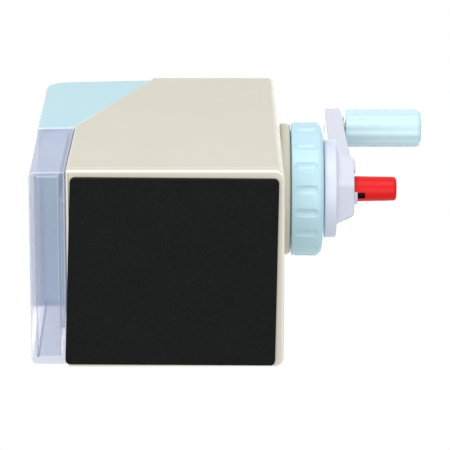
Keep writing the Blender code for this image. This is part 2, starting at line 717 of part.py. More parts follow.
def make_drawer():
    top = SPLIT_HEIGHT - GAP
    front = front_block("drawer_front", 0.0, RIM_HEIGHT, top, 0.0)
    round_edges(front, lambda e: slant(e).z > 0.9
                and max(v.co.x for v in e.verts) < seam_x(0) - FRONT_DEPTH / 2, FRONT_EDGE_RADIUS)
    tub_y = BODY_WIDTH / 2 - DRAWER_SIDE_ROOM
    tub_bottom = PLATE_TOP + GAP
    tub_back = BODY_LENGTH / 2 - TUB_BACK_ROOM
    tub_start = -BODY_LENGTH / 2 - DRAWER_WALL
    tub = box("tub", (tub_start, -tub_y, tub_bottom), (tub_back, tub_y, TUB_HEIGHT))
    join(front, tub)
    hollow = front_block("drawer_hollow", DRAWER_WALL, RIM_HEIGHT + DRAWER_WALL, top + THROUGH,
                         -DRAWER_WALL)
    cut(front, hollow)
    low = (tub_start - DRAWER_WALL - PAST, DRAWER_WALL - tub_y, tub_bottom + DRAWER_WALL)
    high = (tub_back - DRAWER_WALL, tub_y - DRAWER_WALL, top + THROUGH)
    cut(front, box("tub_hollow", low, high))
    return as_part(front, "drawer", LAVENDER)


# ---------------------------------------------------------------- pencil guide
def make_guide():
    start = front_x(AXIS_HEIGHT) + GAP
    guide = turned("guide", [
        (start, PENCIL_BORE), (start, GUIDE_RADIUS), (GUIDE_END, GUIDE_RADIUS),
        (GUIDE_END, PENCIL_BORE),
    ], collar_axis)
    return as_part(guide, "pencil_guide", STEEL)


def make_bezel():
    radius = GUIDE_RADIUS + BEZEL_WIDTH
    back = front_x(AXIS_HEIGHT - radius) - GAP
    front = back - BEZEL_THICKNESS
    bezel = turned("bezel", [
        (back, PENCIL_BORE), (front + BEZEL_LIP, PENCIL_BORE), (front, PENCIL_BORE + BEZEL_LIP),
        (front, radius - BEZEL_LIP), (front + BEZEL_LIP, radius), (back, radius),
    ], collar_axis)
    return as_part(bezel, "entry_bezel", WHITE)


# ---------------------------------------------------------------- collar and ring gear
def make_collar():
    start = BOSS_FACE - SLEEVE_LENGTH
    web_end = COLLAR_FACE + COLLAR_WALL
    chamber_end = COLLAR_END - COLLAR_WALL
    chamber = COLLAR_RADIUS - COLLAR_WALL
    edge = COLLAR_EDGE
    arc = [(COLLAR_END - edge + edge * sin(a), COLLAR_RADIUS - edge + edge * cos(a))
           for a in (pi * i / 8 for i in range(5))]
    body = turned("collar_body", [
        (start, SLEEVE_BORE), (start, SLEEVE_RADIUS), (COLLAR_FACE, SLEEVE_RADIUS),
        (COLLAR_FACE, COLLAR_RADIUS - COLLAR_LIP), (COLLAR_FACE + COLLAR_LIP, COLLAR_RADIUS), *arc,
        (COLLAR_END, COLLAR_END_BORE), (chamber_end, COLLAR_END_BORE), (chamber_end, chamber),
        (web_end, chamber), (web_end, SLEEVE_BORE),
    ], collar_axis, FINE)
    lug_end = BOSS_INNER - RUN
    for index in range(3):
        join(body, sector(f"lug_{index}", SLEEVE_RADIUS - PAST, SLEEVE_RADIUS + LUG_HEIGHT,
                          tau * index / 3, LUG_HALF_ANGLE, lug_end - LUG_LENGTH, lug_end,
                          collar_axis))
    middle = (COLLAR_FACE + COLLAR_END) / 2
    reach = COLLAR_RADIUS + FLUTE_RADIUS - FLUTE_DEPTH
    for index in range(FLUTES):
        y, z = polar(reach, FLUTE_PHASE + tau * index / FLUTES)
        cut(body, rod(f"flute_{index}", middle - FLUTE_LENGTH / 2, middle + FLUTE_LENGTH / 2,
                      FLUTE_RADIUS, collar_axis, 12, y, z))
    return as_part(body, "collar", ICE)


def gear_outline(teeth, inner, outer, inner_half, outer_half):
    """Straight-sided teeth: half angles of a tooth at its inner and outer radius."""
    outline = []
    for index in range(teeth):
        middle = tau * index / teeth
        outline += [polar(inner, middle - inner_half), polar(outer, middle - outer_half),
                    polar(outer, middle + outer_half), polar(inner, middle + inner_half)]
    return outline


def make_ring_gear():
    ring = rod("ring", RING_START, RING_END, SLEEVE_BORE - GAP, crank_axis, ROUND + 8)
    gaps = gear_outline(RING_TEETH, RING_TIP, RING_ROOT, *RING_GAP_HALVES)
    cut(ring, prism("ring_teeth", gaps, RING_START - PAST, RING_END + PAST, crank_axis))
    return as_part(ring, "ring_gear", GEAR)


# ---------------------------------------------------------------- cutter unit
CUTTER_HUB_END = PINION_START - GAP
CLIP_START = PINION_START + PINION_LENGTH + GAP


def make_carrier():
    front_bore = GUIDE_RADIUS + RUN
    block_start = CARRIER_FRONT + CHEEK
    body = rod("carrier_block", CARRIER_FRONT, CARRIER_END, CARRIER_RADIUS, crank_axis, ROUND)
    ear_x = (CARRIER_FRONT + block_start) / 2
    ear = rod("carrier_ear", CARRIER_FRONT + GAP, block_start - GAP, EAR_RADIUS, crank_axis, SMALL,
              0.0, -cutter_offset(ear_x))
    join(body, ear)
    neck_radius = RING_TIP - NECK_ROOM
    low = STOP_BORE + GAP
    half_angle = acos(low / neck_radius)
    neck = [polar(neck_radius, pi + half_angle * (2 * i / 8 - 1)) for i in range(9)]
    join(body, prism("carrier_neck", neck, CARRIER_END - PAST, PLATE_FRONT + PAST, crank_axis))
    join(body, rod("carrier_plate", PLATE_FRONT, PLATE_BACK, SHAFT_RADIUS + DRIVE_PLATE_RIM,
                   crank_axis, ROUND))
    narrow = APEX - STOP_BORE / CONE_SLOPE
    cone_start = CARRIER_FRONT + CONE_LAP
    cut(body, turned("pencil_cone", [
        (CARRIER_FRONT - PAST, 0), (CARRIER_FRONT - PAST, front_bore),
        (GUIDE_END + RUN, front_bore),
        (GUIDE_END + RUN, (APEX - cone_start) * CONE_SLOPE + GAP),
        (cone_start, (APEX - cone_start) * CONE_SLOPE + GAP),
        (narrow, STOP_BORE), (CARRIER_END + PAST, STOP_BORE), (CARRIER_END + PAST, 0),
    ], crank_axis))
    cut(body, rod("plate_bore", PLATE_FRONT - PAST, PLATE_BACK + PAST, STOP_BORE, crank_axis))
    cut(body, rod("cutter_pocket", -CUTTER_LENGTH - RUN, RUN, CUTTER_RADIUS + RUN, cutter_axis,
                  ROUND))
    cut(body, rod("cutter_hub_hole", 0, CUTTER_HUB_HOLE, CUTTER_HUB_RADIUS + RUN, cutter_axis))
    cut(body, rod("cutter_shaft_hole", -CARRIER_LENGTH - THROUGH, 2 * THROUGH,
                  CUTTER_SHAFT_RADIUS + GAP, cutter_axis))
    for index, (y, z) in enumerate(crank_screw_places()):
        cut(body, rod(f"plate_screw_hole_{index}", PLATE_FRONT - PAST, PLATE_BACK + PAST,
                      CRANK_SCREW_RADIUS + GAP, crank_axis, SMALL, y, z))
        cut(body, rod(f"plate_counterbore_{index}", PLATE_FRONT - CRANK_SCREW_HEAD_ROOM,
                      CRANK_SCREW_SEAT, CRANK_SCREW_HEAD + GAP, crank_axis, SMALL, y, z))
    allow_grazing(body)
    return as_part(body, "carrier", ZINC)


def make_cutter():
    outline = gear_outline(CUTTER_TEETH, CUTTER_RADIUS - CUTTER_TOOTH_DEPTH, CUTTER_RADIUS,
                           *CUTTER_TOOTH_HALVES)
    slices = 8
    stations = [(-CUTTER_LENGTH * (1 - i / slices), 1, CUTTER_TWIST * i / slices)
                for i in range(slices + 1)]
    cutter = drawn("cutter_body", outline, stations, cutter_axis)
    join(cutter, rod("cutter_hub", -PAST, CUTTER_HUB_END, CUTTER_HUB_RADIUS, cutter_axis))
    cut(cutter, rod("cutter_bore", -CUTTER_LENGTH - THROUGH, THROUGH, CUTTER_SHAFT_RADIUS + GAP,
                    cutter_axis))
    return as_part(cutter, "cutter", TOOL_STEEL)


def make_pinion():
    outline = gear_outline(PINION_TEETH, PINION_ROOT, PINION_TIP, *PINION_TOOTH_HALVES)
    end = PINION_START + PINION_LENGTH
    pinion = prism("pinion_body", outline, PINION_START, end, cutter_axis)
    cut(pinion, rod("pinion_bore", PINION_START - PAST, end + PAST, CUTTER_SHAFT_RADIUS + GAP,
                    cutter_axis))
    return as_part(pinion, "cutter_pinion", STEEL)


def make_cutter_shaft():
    front = (CARRIER_FRONT + 2 * GAP - CUTTER_ORIGIN) / cos(CUTTER_TILT)
    back = (PLATE_BACK - RUN - CUTTER_ORIGIN) / cos(CUTTER_TILT)
    return as_part(rod("shaft", front, back, CUTTER_SHAFT_RADIUS, cutter_axis), "cutter_shaft",
                   STEEL)


def make_clip():
    clip = turned("clip", [
        (CLIP_START, CUTTER_SHAFT_RADIUS + GAP), (CLIP_START, CLIP_RADIUS),
        (CLIP_START + CLIP_THICKNESS, CLIP_RADIUS),
        (CLIP_START + CLIP_THICKNESS, CUTTER_SHAFT_RADIUS + GAP),
    ], cutter_axis, SMALL)
    cut(clip, box("clip_gap", (CLIP_START - PAST, -CLIP_GAP / 2, -2 * CLIP_RADIUS),
                  (CLIP_START + CLIP_THICKNESS + PAST, CLIP_GAP / 2, 0), cutter_axis))
    return as_part(clip, "shaft_clip", STEEL)


# ---------------------------------------------------------------- crank
CRANK_SCREW_SEAT = PLATE_BACK - CRANK_SCREW_WALL
SPRING_SEAT = SHAFT_END + SPRING_WALL
SPRING_BORE = STOP_FLANGE_RADIUS + GAP
KNOB_BORE = KNOB_RADIUS + GAP
KNOB_INNER = HUB_END - KNOB_SOCKET
KNOB_BORE_START = KNOB_INNER - ADJUST_TRAVEL - RUN
STOP_FLANGE_START = KNOB_BORE_START - RUN - STOP_FLANGE - FLANGE_ROOM


def crank_screw_places():
    y, z = CRANK_SCREW_OFFSET
    return [(-y, z), (y, z)]


def make_arm():
    """The arm's outline, drawn thick and then leant towards the collar at its tip."""
    steps = 10
    tip = [(ARM_TIP_RADIUS * cos(a), CRANK_RADIUS + ARM_TIP_RADIUS * sin(a))
           for a in (pi * i / steps for i in range(steps + 1))]
    root = HUB_RADIUS / 2
    outline = [(-ARM_ROOT_HALF_WIDTH, root), (ARM_ROOT_HALF_WIDTH, root), *tip]
    arm = prism("arm", outline, 0.0, 1.0, crank_axis)
    end = CRANK_RADIUS + ARM_TIP_RADIUS
    for vert in arm.data.vertices:
        share = max(0.0, (vert.co.z - HUB_RADIUS) / (end - HUB_RADIUS))
        side = 0 if vert.co.x < 0.5 else 1
        vert.co.x = HUB_FACE + ARM_ROOT_SPAN[side] * (1 - share) + ARM_TIP_SPAN[side] * share
    round_edges(arm, lambda e: sum(abs(f.normal.x) > 0.9 for f in e.link_faces) == 1
                and max(v.co.z for v in e.verts) > root + WELD, ARM_EDGE, 1)
    return arm


def make_crank():
    hub = turned("hub_disc", [
        (SHAFT_END, 0), (SHAFT_END, SHAFT_RADIUS), (HUB_FACE, SHAFT_RADIUS),
        (HUB_FACE, HUB_RADIUS - HUB_EDGE), (HUB_FACE + HUB_EDGE, HUB_RADIUS),
        (HUB_FACE + HUB_DISC - HUB_EDGE, HUB_RADIUS),
        (HUB_FACE + HUB_DISC, HUB_RADIUS - HUB_EDGE), (HUB_FACE + HUB_DISC, 0),
    ], crank_axis, 40)
    hexagon = [polar(HEX_BASE_RADIUS, tau * i / 6) for i in range(6)]
    hex_start = HUB_FACE + HUB_DISC - HEX_SINK
    join(hub, drawn("hub_hex", hexagon, [(hex_start, 1, 0),
                                         (HUB_END, HEX_END_RADIUS / HEX_BASE_RADIUS, 0)],
                    crank_axis))
    join(hub, make_arm())
    join(hub, sector("index_rim", KNOB_BORE, KNOB_BORE + INDEX_WALL, INDEX_MIDDLE, pi / 2,
                     HUB_END - PAST, HUB_END + INDEX_HEIGHT, crank_axis))
    join(hub, rod("index_dot", HUB_END - PAST, HUB_END + DOT_HEIGHT, DOT_RADIUS, crank_axis,
                  SMALL, *DOT_PLACE))
    cut(hub, turned("hub_bores", [
        (SHAFT_END - PAST, 0), (SHAFT_END - PAST, STOP_BORE), (SPRING_SEAT, STOP_BORE),
        (SPRING_SEAT, SPRING_BORE), (KNOB_BORE_START, SPRING_BORE),
        (KNOB_BORE_START, KNOB_BORE), (HUB_END + THROUGH, KNOB_BORE), (HUB_END + THROUGH, 0),
    ], crank_axis))
    for index, (y, z) in enumerate(crank_screw_places()):
        cut(hub, rod(f"shaft_pilot_{index}", SHAFT_END - PAST,
                     CRANK_SCREW_SEAT + CRANK_SCREW_LENGTH + GAP, CRANK_SCREW_RADIUS + GAP,
                     crank_axis, SMALL, y, z))
    cut(hub, rod("pin_bore", HUB_FACE - THROUGH, HUB_END + THROUGH, GRIP_PIN_RADIUS + GAP, grip_axis))
    return as_part(hub, "crank", WHITE)


PIN_START = HUB_FACE + ARM_TIP_SPAN[0] + GRIP_PIN_INSET
WASHER_START = HUB_FACE + ARM_TIP_SPAN[1] + WASHER_ROOM
GRIP_START = WASHER_START + WASHER_THICKNESS + GAP
GRIP_END = GRIP_START + GRIP_LENGTH
PIN_END = GRIP_END - GRIP_PIN_COVER
PIN_NECK = PIN_END - GRIP_PIN_HEAD


def make_grip_pin():
    rim = GRIP_PIN_RADIUS + GRIP_PIN_RIM
    pin = turned("pin", [
        (PIN_START, 0), (PIN_START, GRIP_PIN_RADIUS), (PIN_NECK, GRIP_PIN_RADIUS), (PIN_NECK, rim),
        (PIN_END, GRIP_PIN_RADIUS + FACET * GRIP_PIN_RIM), (PIN_END, 0),
    ], grip_axis, 20)
    return as_part(pin, "grip_pin", STEEL)


def make_washer():
    washer = turned("washer", [
        (WASHER_START, GRIP_PIN_RADIUS + GAP), (WASHER_START, WASHER_RADIUS),
        (WASHER_START + WASHER_THICKNESS, WASHER_RADIUS),
        (WASHER_START + WASHER_THICKNESS, GRIP_PIN_RADIUS + GAP),
    ], grip_axis, 24)
    return as_part(washer, "pin_washer", STEEL)


def make_grip():
    points = 4 * GRIP_FLUTES
    outline = []
    for index in range(points):
        angle = tau * index / points
        radius = GRIP_RADIUS - GRIP_FLUTE_DEPTH * (1 - cos(GRIP_FLUTES * angle)) / 2
        outline.append(polar(radius, angle))
    edge = GRIP_END_RADIUS
    stations = [(GRIP_START, 1 - GRIP_LIP / GRIP_RADIUS, 0), (GRIP_START + GRIP_LIP, 1, 0)]
    stations += [(GRIP_END - edge * (1 - sin(a)), 1 - edge / GRIP_RADIUS * (1 - cos(a)), 0)
                 for a in (pi / 8 * i for i in range(5))]
    grip = drawn("grip_body", outline, stations, grip_axis)
    bore = GRIP_PIN_RADIUS + RUN
    wide = bore + GRIP_PIN_RIM
    cut(grip, turned("grip_bore", [
        (GRIP_START - PAST, 0), (GRIP_START - PAST, bore), (PIN_NECK - RUN, bore),
        (PIN_NECK - RUN, wide), (PIN_END + RUN, wide), (PIN_END + RUN, 0),
    ], grip_axis, 20))
    return as_part(grip, "grip", ICE)


# ---------------------------------------------------------------- point adjuster
def make_tip_stop():
    blade_start = APEX - BLADE_REACH
    rod_start = CARRIER_END + STOP_ROD_ROOM
    rod_end = KNOB_INNER + STOP_ROD_LAP
    stop = turned("stop_rod", [
        (rod_start, 0), (rod_start, STOP_ROD_RADIUS), (STOP_FLANGE_START, STOP_ROD_RADIUS),
        (STOP_FLANGE_START, STOP_FLANGE_RADIUS),
        (STOP_FLANGE_START + STOP_FLANGE, STOP_FLANGE_RADIUS),
        (STOP_FLANGE_START + STOP_FLANGE, STOP_ROD_RADIUS), (rod_end, STOP_ROD_RADIUS),
        (rod_end, 0),
    ], crank_axis, 20)
    low, high = BLADE_SPAN
    join(stop, box("stop_blade", (blade_start, -BLADE_HALF_WIDTH, low),
                   (rod_start + PAST, BLADE_HALF_WIDTH, high), crank_axis))
    return as_part(stop, "tip_stop", STEEL)


def make_spring():
    start = SPRING_SEAT + GAP + SPRING_WIRE_RADIUS
    end = STOP_FLANGE_START - GAP - SPRING_WIRE_RADIUS
    coil_radius = (STOP_ROD_RADIUS + SPRING_BORE) / 2
    points = 10 * SPRING_TURNS + 1
    curve = bpy.data.curves.new("spring", "CURVE")
    curve.dimensions = "3D"
    curve.bevel_depth = SPRING_WIRE_RADIUS
    curve.bevel_resolution = 1
    curve.use_fill_caps = True
    spline = curve.splines.new("POLY")
    spline.points.add(points - 1)
    for index, point in enumerate(spline.points):
        share = index / (points - 1)
        y, z = polar(coil_radius, tau * SPRING_TURNS * share)
        point.co = (start + (end - start) * share, y, z, 1)
    return as_part(baked(as_tool("spring", curve, None), "spring_wire", crank_axis),
                   "adjuster_spring", STEEL)


def make_knob():
    end = HUB_END + KNOB_REACH
    edge = KNOB_END_RADIUS
    tip = KNOB_RADIUS * KNOB_TAPER
    arc = [(end - edge + edge * sin(a), tip - edge + edge * cos(a))
           for a in (pi * i / 6 for i in range(4))]
    knob = turned("knob_body", [(KNOB_INNER, 0), (KNOB_INNER, KNOB_RADIUS), *arc, (end, 0)],
                  crank_axis)
    start = HUB_END + NOTCH_START
    cut(knob, box("knob_notch", (start, -NOTCH_WIDTH / 2, -2 * KNOB_RADIUS),
                  (start + NOTCH_LENGTH, NOTCH_WIDTH / 2, NOTCH_DEPTH - KNOB_RADIUS), crank_axis))
    cut(knob, rod("knob_bore", KNOB_INNER - PAST, KNOB_INNER + STOP_ROD_LAP + GAP, STOP_BORE,
                  crank_axis))
    return as_part(knob, "adjuster_knob", RED)


# ---------------------------------------------------------------- screws
def make_screw(name, radius, head_radius, head_height, length, frame=None):
    """A pan-head screw along +X with its head's seat at the origin."""
    screw = turned(f"{name}_body", [
        (-head_height, 0), (-head_height, head_radius * 0.8), (-head_height * 0.6, head_radius),
        (0, head_radius), (0, radius), (length - radius, radius), (length, radius * 0.3),
        (length, 0),
    ], frame, SMALL)
    width = head_radius * 0.16
    reach = head_radius * 0.6
    deep = -head_height * 0.4
    for index, (y, z) in enumerate(((width, reach), (reach, width))):
        cut(screw, box(f"{name}_slot_{index}", (-head_height - PAST, -y, -z), (deep, y, z), frame))
    return as_part(screw, name, STEEL)


def place_tools(screw, place):
    """Move a screw and the cutters that shape it."""
    screw.matrix_local = place
    for modifier in screw.modifiers:
        if modifier.type == "BOOLEAN":
            modifier.object.matrix_local = place


def make_screws():
    upright = Matrix.Rotation(-pi / 2, 4, "Y")
    for index, (x, y) in enumerate(screw_places()):
        screw = make_screw(f"base_screw_{index + 1}", SCREW_RADIUS, SCREW_HEAD_RADIUS,
                           SCREW_HEAD_HEIGHT, SCREW_LENGTH)
        seat = SEAT_TOP - SCREW_SEAT - GAP
        place_tools(screw, Matrix.Translation((x, y, seat)) @ upright)
    for index, (x, y) in enumerate(head_screw_places()):
        screw = make_screw(f"head_screw_{index + 1}", SCREW_RADIUS, SCREW_HEAD_RADIUS,
                           WALL - SCREW_SEAT - GAP, HEAD_SCREW_LENGTH)
        seat = TAB_TOP - SCREW_SEAT - GAP
        place_tools(screw, Matrix.Translation((x, y, seat)) @ upright)
    for index, (y, z) in enumerate(crank_screw_places()):
        screw = make_screw(f"crank_screw_{index + 1}", CRANK_SCREW_RADIUS, CRANK_SCREW_HEAD,
                           CRANK_SCREW_HEAD_HEIGHT, CRANK_SCREW_LENGTH, crank_axis)
        place_tools(screw, Matrix.Translation((CRANK_SCREW_SEAT - GAP, y, z)))


make_housing()
make_base_plate()
make_mat()
make_head()
make_drawer()
make_guide()
make_bezel()
make_collar()
make_ring_gear()
make_carrier()
make_cutter()
make_pinion()
make_cutter_shaft()
make_clip()
make_crank()
make_grip_pin()
make_washer()
make_grip()
make_tip_stop()
make_spring()
make_knob()
make_screws()
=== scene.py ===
# %% [markdown]
# # A hand-crank pencil sharpener in Blender
#
# This lesson dresses a measured model of a desk sharpener with finished surfaces. The measured
# model gives every place and every joint. Here each visible piece is modelled again with more
# detail, and each hidden piece gets a better finish.
#
# First the measured model is loaded. Its size is kept, so that the finished object can be
# compared with it at the end.

# %% Load the measured model
from math import atan2, cos, degrees, hypot, pi, radians, sin, tau

import bmesh
import bpy
from mathutils import Matrix, Vector


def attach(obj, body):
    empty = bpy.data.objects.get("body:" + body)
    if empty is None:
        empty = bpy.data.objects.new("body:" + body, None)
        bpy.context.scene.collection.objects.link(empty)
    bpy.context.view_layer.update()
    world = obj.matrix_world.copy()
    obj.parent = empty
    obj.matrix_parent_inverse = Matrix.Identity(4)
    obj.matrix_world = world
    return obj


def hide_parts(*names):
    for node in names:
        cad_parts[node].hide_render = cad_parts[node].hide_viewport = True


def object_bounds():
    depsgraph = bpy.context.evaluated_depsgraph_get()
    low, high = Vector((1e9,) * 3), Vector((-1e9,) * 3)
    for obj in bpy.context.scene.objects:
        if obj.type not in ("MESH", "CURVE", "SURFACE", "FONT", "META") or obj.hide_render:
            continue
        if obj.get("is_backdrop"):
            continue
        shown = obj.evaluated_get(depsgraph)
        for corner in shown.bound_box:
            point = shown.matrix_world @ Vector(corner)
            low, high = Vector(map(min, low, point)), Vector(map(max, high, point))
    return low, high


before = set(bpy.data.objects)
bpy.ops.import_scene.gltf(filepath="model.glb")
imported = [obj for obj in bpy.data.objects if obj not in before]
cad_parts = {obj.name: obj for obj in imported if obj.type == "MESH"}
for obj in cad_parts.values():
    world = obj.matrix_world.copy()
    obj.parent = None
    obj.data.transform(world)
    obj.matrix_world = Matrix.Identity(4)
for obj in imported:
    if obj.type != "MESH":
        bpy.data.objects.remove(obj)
measured = [list(corner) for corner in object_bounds()]
MM = 0.001

# %% [markdown]
# ## Camera
#
# The sharpener stands on the floor and the camera looks up at it from below, at 71 degrees, so
# that the foam mat under the base faces the camera. A long lens from a little over a metre
# keeps upright edges nearly parallel, as in product pictures.

# %% Camera
LENS = 302.3
SENSOR = 36
up_look = Vector((0, 0.3256, 0.9455)).normalized()
picture_up = Vector((0, -up_look.z, up_look.y))

camera_data = bpy.data.cameras.new("camera")
camera_data.lens = LENS
camera_data.sensor_width = SENSOR
camera = bpy.data.objects.new("camera", camera_data)
bpy.context.scene.collection.objects.link(camera)
camera_turn = Matrix((Vector((1, 0, 0)), picture_up, -up_look)).transposed()
camera.matrix_world = Matrix.Translation((0.01575, -0.40441, -1.12989)) @ camera_turn.to_4x4()
bpy.context.scene.camera = camera
print("camera at", tuple(round(c, 3) for c in camera.location), "m, lens", LENS, "mm")

# %% [markdown]
# ## Light
#
# Everything is lit by a plain white surround and by a few large soft lamps. Together they come
# to about the level at which a colour looks as it is written. The key lamp stands beside and
# below the sharpener, because that is where it is looked at from. A second lamp above keeps the
# top from going flat in the other views.

# %% World and lamps
AMBIENT = 0.50

scene = bpy.context.scene
scene.view_settings.view_transform = "Standard"
world = bpy.data.worlds.new("white_surround")
scene.world = world
world.use_nodes = True
nodes, links = world.node_tree.nodes, world.node_tree.links
surround = nodes["Background"]
surround.inputs["Color"].default_value = (1, 1, 1, 1)
seen = nodes.new("ShaderNodeBackground")
seen.inputs["Color"].default_value = (1, 1, 1, 1)
seen.inputs["Strength"].default_value = 1.0
surround.inputs["Strength"].default_value = AMBIENT
ray = nodes.new("ShaderNodeLightPath")
either = nodes.new("ShaderNodeMath")
either.operation = "MAXIMUM"
any_of = nodes.new("ShaderNodeMath")
any_of.operation = "MAXIMUM"
mix = nodes.new("ShaderNodeMixShader")
links.new(ray.outputs["Is Camera Ray"], either.inputs[0])
links.new(ray.outputs["Is Glossy Ray"], either.inputs[1])
links.new(either.outputs[0], any_of.inputs[0])
links.new(ray.outputs["Is Transmission Ray"], any_of.inputs[1])
links.new(any_of.outputs[0], mix.inputs[0])
links.new(surround.outputs[0], mix.inputs[1])
links.new(seen.outputs[0], mix.inputs[2])
links.new(mix.outputs[0], nodes["World Output"].inputs["Surface"])


def lamp(name, place, target, size, watts):
    """A large soft square lamp aimed at a point."""
    data = bpy.data.lights.new(name, "AREA")
    data.shape = "SQUARE"
    data.size = size
    data.energy = watts
    obj = bpy.data.objects.new(name, data)
    obj.location = place
    obj.rotation_mode = "QUATERNION"
    obj.rotation_quaternion = (Vector(target) - Vector(place)).to_track_quat("-Z", "Y")
    scene.collection.objects.link(obj)
    return obj


BODY_MIDDLE = (0, 0, 0.06)
lamp("key_lamp", (-0.1, -1.1, -0.35), BODY_MIDDLE, 0.7, 6.9)
lamp("under_lamp", (0.0, -0.1, -1.3), BODY_MIDDLE, 0.9, 7.0)
lamp("top_lamp", (0.3, 0.4, 1.3), BODY_MIDDLE, 0.9, 9.0)
print("four lights with the surround at", AMBIENT)

# %% [markdown]
# ## Floor
#
# The floor is plain and pale. Seen from above it shows the sharpener's shadow. Seen from below
# it has to vanish, and light from below has to pass it, so its material turns transparent for
# every ray except one that looks down on it.

# %% Floor
bpy.ops.object.select_all(action="DESELECT")
bpy.ops.mesh.primitive_plane_add(size=6.0, location=(0, 0, 0))
floor = bpy.context.object
floor.name = "floor"
floor_paint = bpy.data.materials.new("floor_paint")
floor_paint.use_nodes = True
nodes, links = floor_paint.node_tree.nodes, floor_paint.node_tree.links
matt = nodes["Principled BSDF"]
matt.inputs["Base Color"].default_value = (0.82, 0.82, 0.82, 1)
matt.inputs["Roughness"].default_value = 0.9
clear = nodes.new("ShaderNodeBsdfTransparent")
ray = nodes.new("ShaderNodeLightPath")
side = nodes.new("ShaderNodeNewGeometry")
either = nodes.new("ShaderNodeMath")
either.operation = "MAXIMUM"
any_of = nodes.new("ShaderNodeMath")
any_of.operation = "MAXIMUM"
above = nodes.new("ShaderNodeMath")
above.operation = "SUBTRACT"
above.use_clamp = True
mix = nodes.new("ShaderNodeMixShader")
links.new(ray.outputs["Is Camera Ray"], either.inputs[0])
links.new(ray.outputs["Is Glossy Ray"], either.inputs[1])
links.new(either.outputs[0], any_of.inputs[0])
links.new(ray.outputs["Is Transmission Ray"], any_of.inputs[1])
links.new(any_of.outputs[0], above.inputs[0])
links.new(side.outputs["Backfacing"], above.inputs[1])
links.new(above.outputs[0], mix.inputs[0])
links.new(clear.outputs[0], mix.inputs[1])
links.new(matt.outputs[0], mix.inputs[2])
links.new(mix.outputs[0], nodes["Material Output"].inputs["Surface"])
floor.data.materials.append(floor_paint)
floor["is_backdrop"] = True
print("floor", floor.dimensions.x, "m wide")

# %% [markdown]
# ## Modelling helpers
#
# Every new piece starts from a primitive and is shaped in edit mode, as by hand. These helpers
# keep that short. One adds a primitive with nothing else selected, and moves its place into its
# mesh. One opens it for editing, and one selects by a test on place or normal. Others round
# chosen edges, apply a modifier, join or cut with a tool, and turn a piece about the crank's
# axis. The last one smooths a finished piece, evens out the shading of its flat faces, and
# gives it its finishes and its body.

# %% Helpers for edit mode
def primitive(kind, name, **settings):
    """A new primitive, with its place in its mesh."""
    bpy.ops.object.select_all(action="DESELECT")
    getattr(bpy.ops.mesh, f"primitive_{kind}_add")(**settings)
    piece = bpy.context.object
    piece.name = piece.data.name = name
    bpy.ops.object.transform_apply(location=True, rotation=True, scale=True)
    return piece


def edit(piece):
    """Opens a piece in edit mode with nothing selected."""
    bpy.ops.object.select_all(action="DESELECT")
    piece.select_set(True)
    bpy.context.view_layer.objects.active = piece
    bpy.ops.object.mode_set(mode="EDIT")
    bpy.ops.mesh.select_all(action="DESELECT")


def done():
    """Closes edit mode."""
    bpy.ops.object.mode_set(mode="OBJECT")


def pick(kind, test):
    """Selects only the vertices, edges or faces for which the test is true."""
    bpy.ops.mesh.select_mode(type=kind)
    bpy.ops.mesh.select_all(action="DESELECT")
    data = bpy.context.object.data
    mesh = bmesh.from_edit_mesh(data)
    mesh.verts.index_update()
    mesh.normal_update()
    items = {"VERT": mesh.verts, "EDGE": mesh.edges, "FACE": mesh.faces}[kind]
    chosen = [item for item in items if test(item)]
    for item in chosen:
        item.select_set(True)
    mesh.select_flush_mode()
    bmesh.update_edit_mesh(data)
    return len(chosen)


def round_off(test, radius, segments):
    """Bevels the edges for which the test is true."""
    count = pick("EDGE", test)
    if count:
        bpy.ops.mesh.bevel(offset=radius, segments=segments, affect="EDGES", profile=0.5)
    return count


def modify(piece, kind, **settings):
    """Adds a modifier, sets it and applies it."""
    bpy.ops.object.select_all(action="DESELECT")
    piece.select_set(True)
    bpy.context.view_layer.objects.active = piece
    modifier = piece.modifiers.new(kind.title(), kind)
    for key, value in settings.items():
        setattr(modifier, key, value)
    bpy.ops.object.modifier_apply(modifier=modifier.name)


def combine(piece, tool, operation):
    """Joins a tool to a piece or cuts it away, and removes the tool."""
    modify(piece, "BOOLEAN", object=tool, operation=operation, solver="MANIFOLD")
    bpy.data.objects.remove(tool)


def soften(piece, width, segments=2, angle=40, edge_highlight_slot=0):
    """A small round on every edge that is still sharp, in the finish with this number; a paler
    finish there is a painted highlight.
    """
    while len(piece.data.materials) <= edge_highlight_slot:
        piece.data.materials.append(None)
    modify(piece, "BEVEL", width=width, segments=segments, limit_method="ANGLE",
           angle_limit=radians(angle), miter_outer="MITER_ARC", material=edge_highlight_slot,
           use_clamp_overlap=not edge_highlight_slot)


def turn(piece, angle, height):
    """Turns a piece about the line along X at this height, with the turn in its mesh."""
    centre = Matrix.Translation((0, 0, height))
    piece.matrix_world = centre @ Matrix.Rotation(angle, 4, "X") @ centre.inverted()
    bpy.ops.object.select_all(action="DESELECT")
    piece.select_set(True)
    bpy.context.view_layer.objects.active = piece
    bpy.ops.object.transform_apply(location=True, rotation=True, scale=True)


def place_piece(piece, body, slot, stands_for, *finishes, angle=32):
    """Smooths a finished piece, paints it and fixes it to its body."""
    bpy.ops.object.select_all(action="DESELECT")
    piece.select_set(True)
    bpy.context.view_layer.objects.active = piece
    bpy.ops.object.shade_smooth_by_angle(angle=radians(angle))
    modify(piece, "WEIGHTED_NORMAL", keep_sharp=True)
    while len(piece.data.materials) < len(finishes):
        piece.data.materials.append(None)
    for index, paint in enumerate(finishes):
        piece.data.materials[index] = paint
    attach(piece, body)
    if stands_for:
        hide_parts(*stands_for)
    low = [min(v.co[i] for v in piece.data.vertices) / MM for i in range(3)]
    high = [max(v.co[i] for v in piece.data.vertices) / MM for i in range(3)]
    print(piece.name, len(piece.data.polygons), "faces,", [round(a, 1) for a in low], "to",
          [round(a, 1) for a in high], "mm")


print("helpers ready")
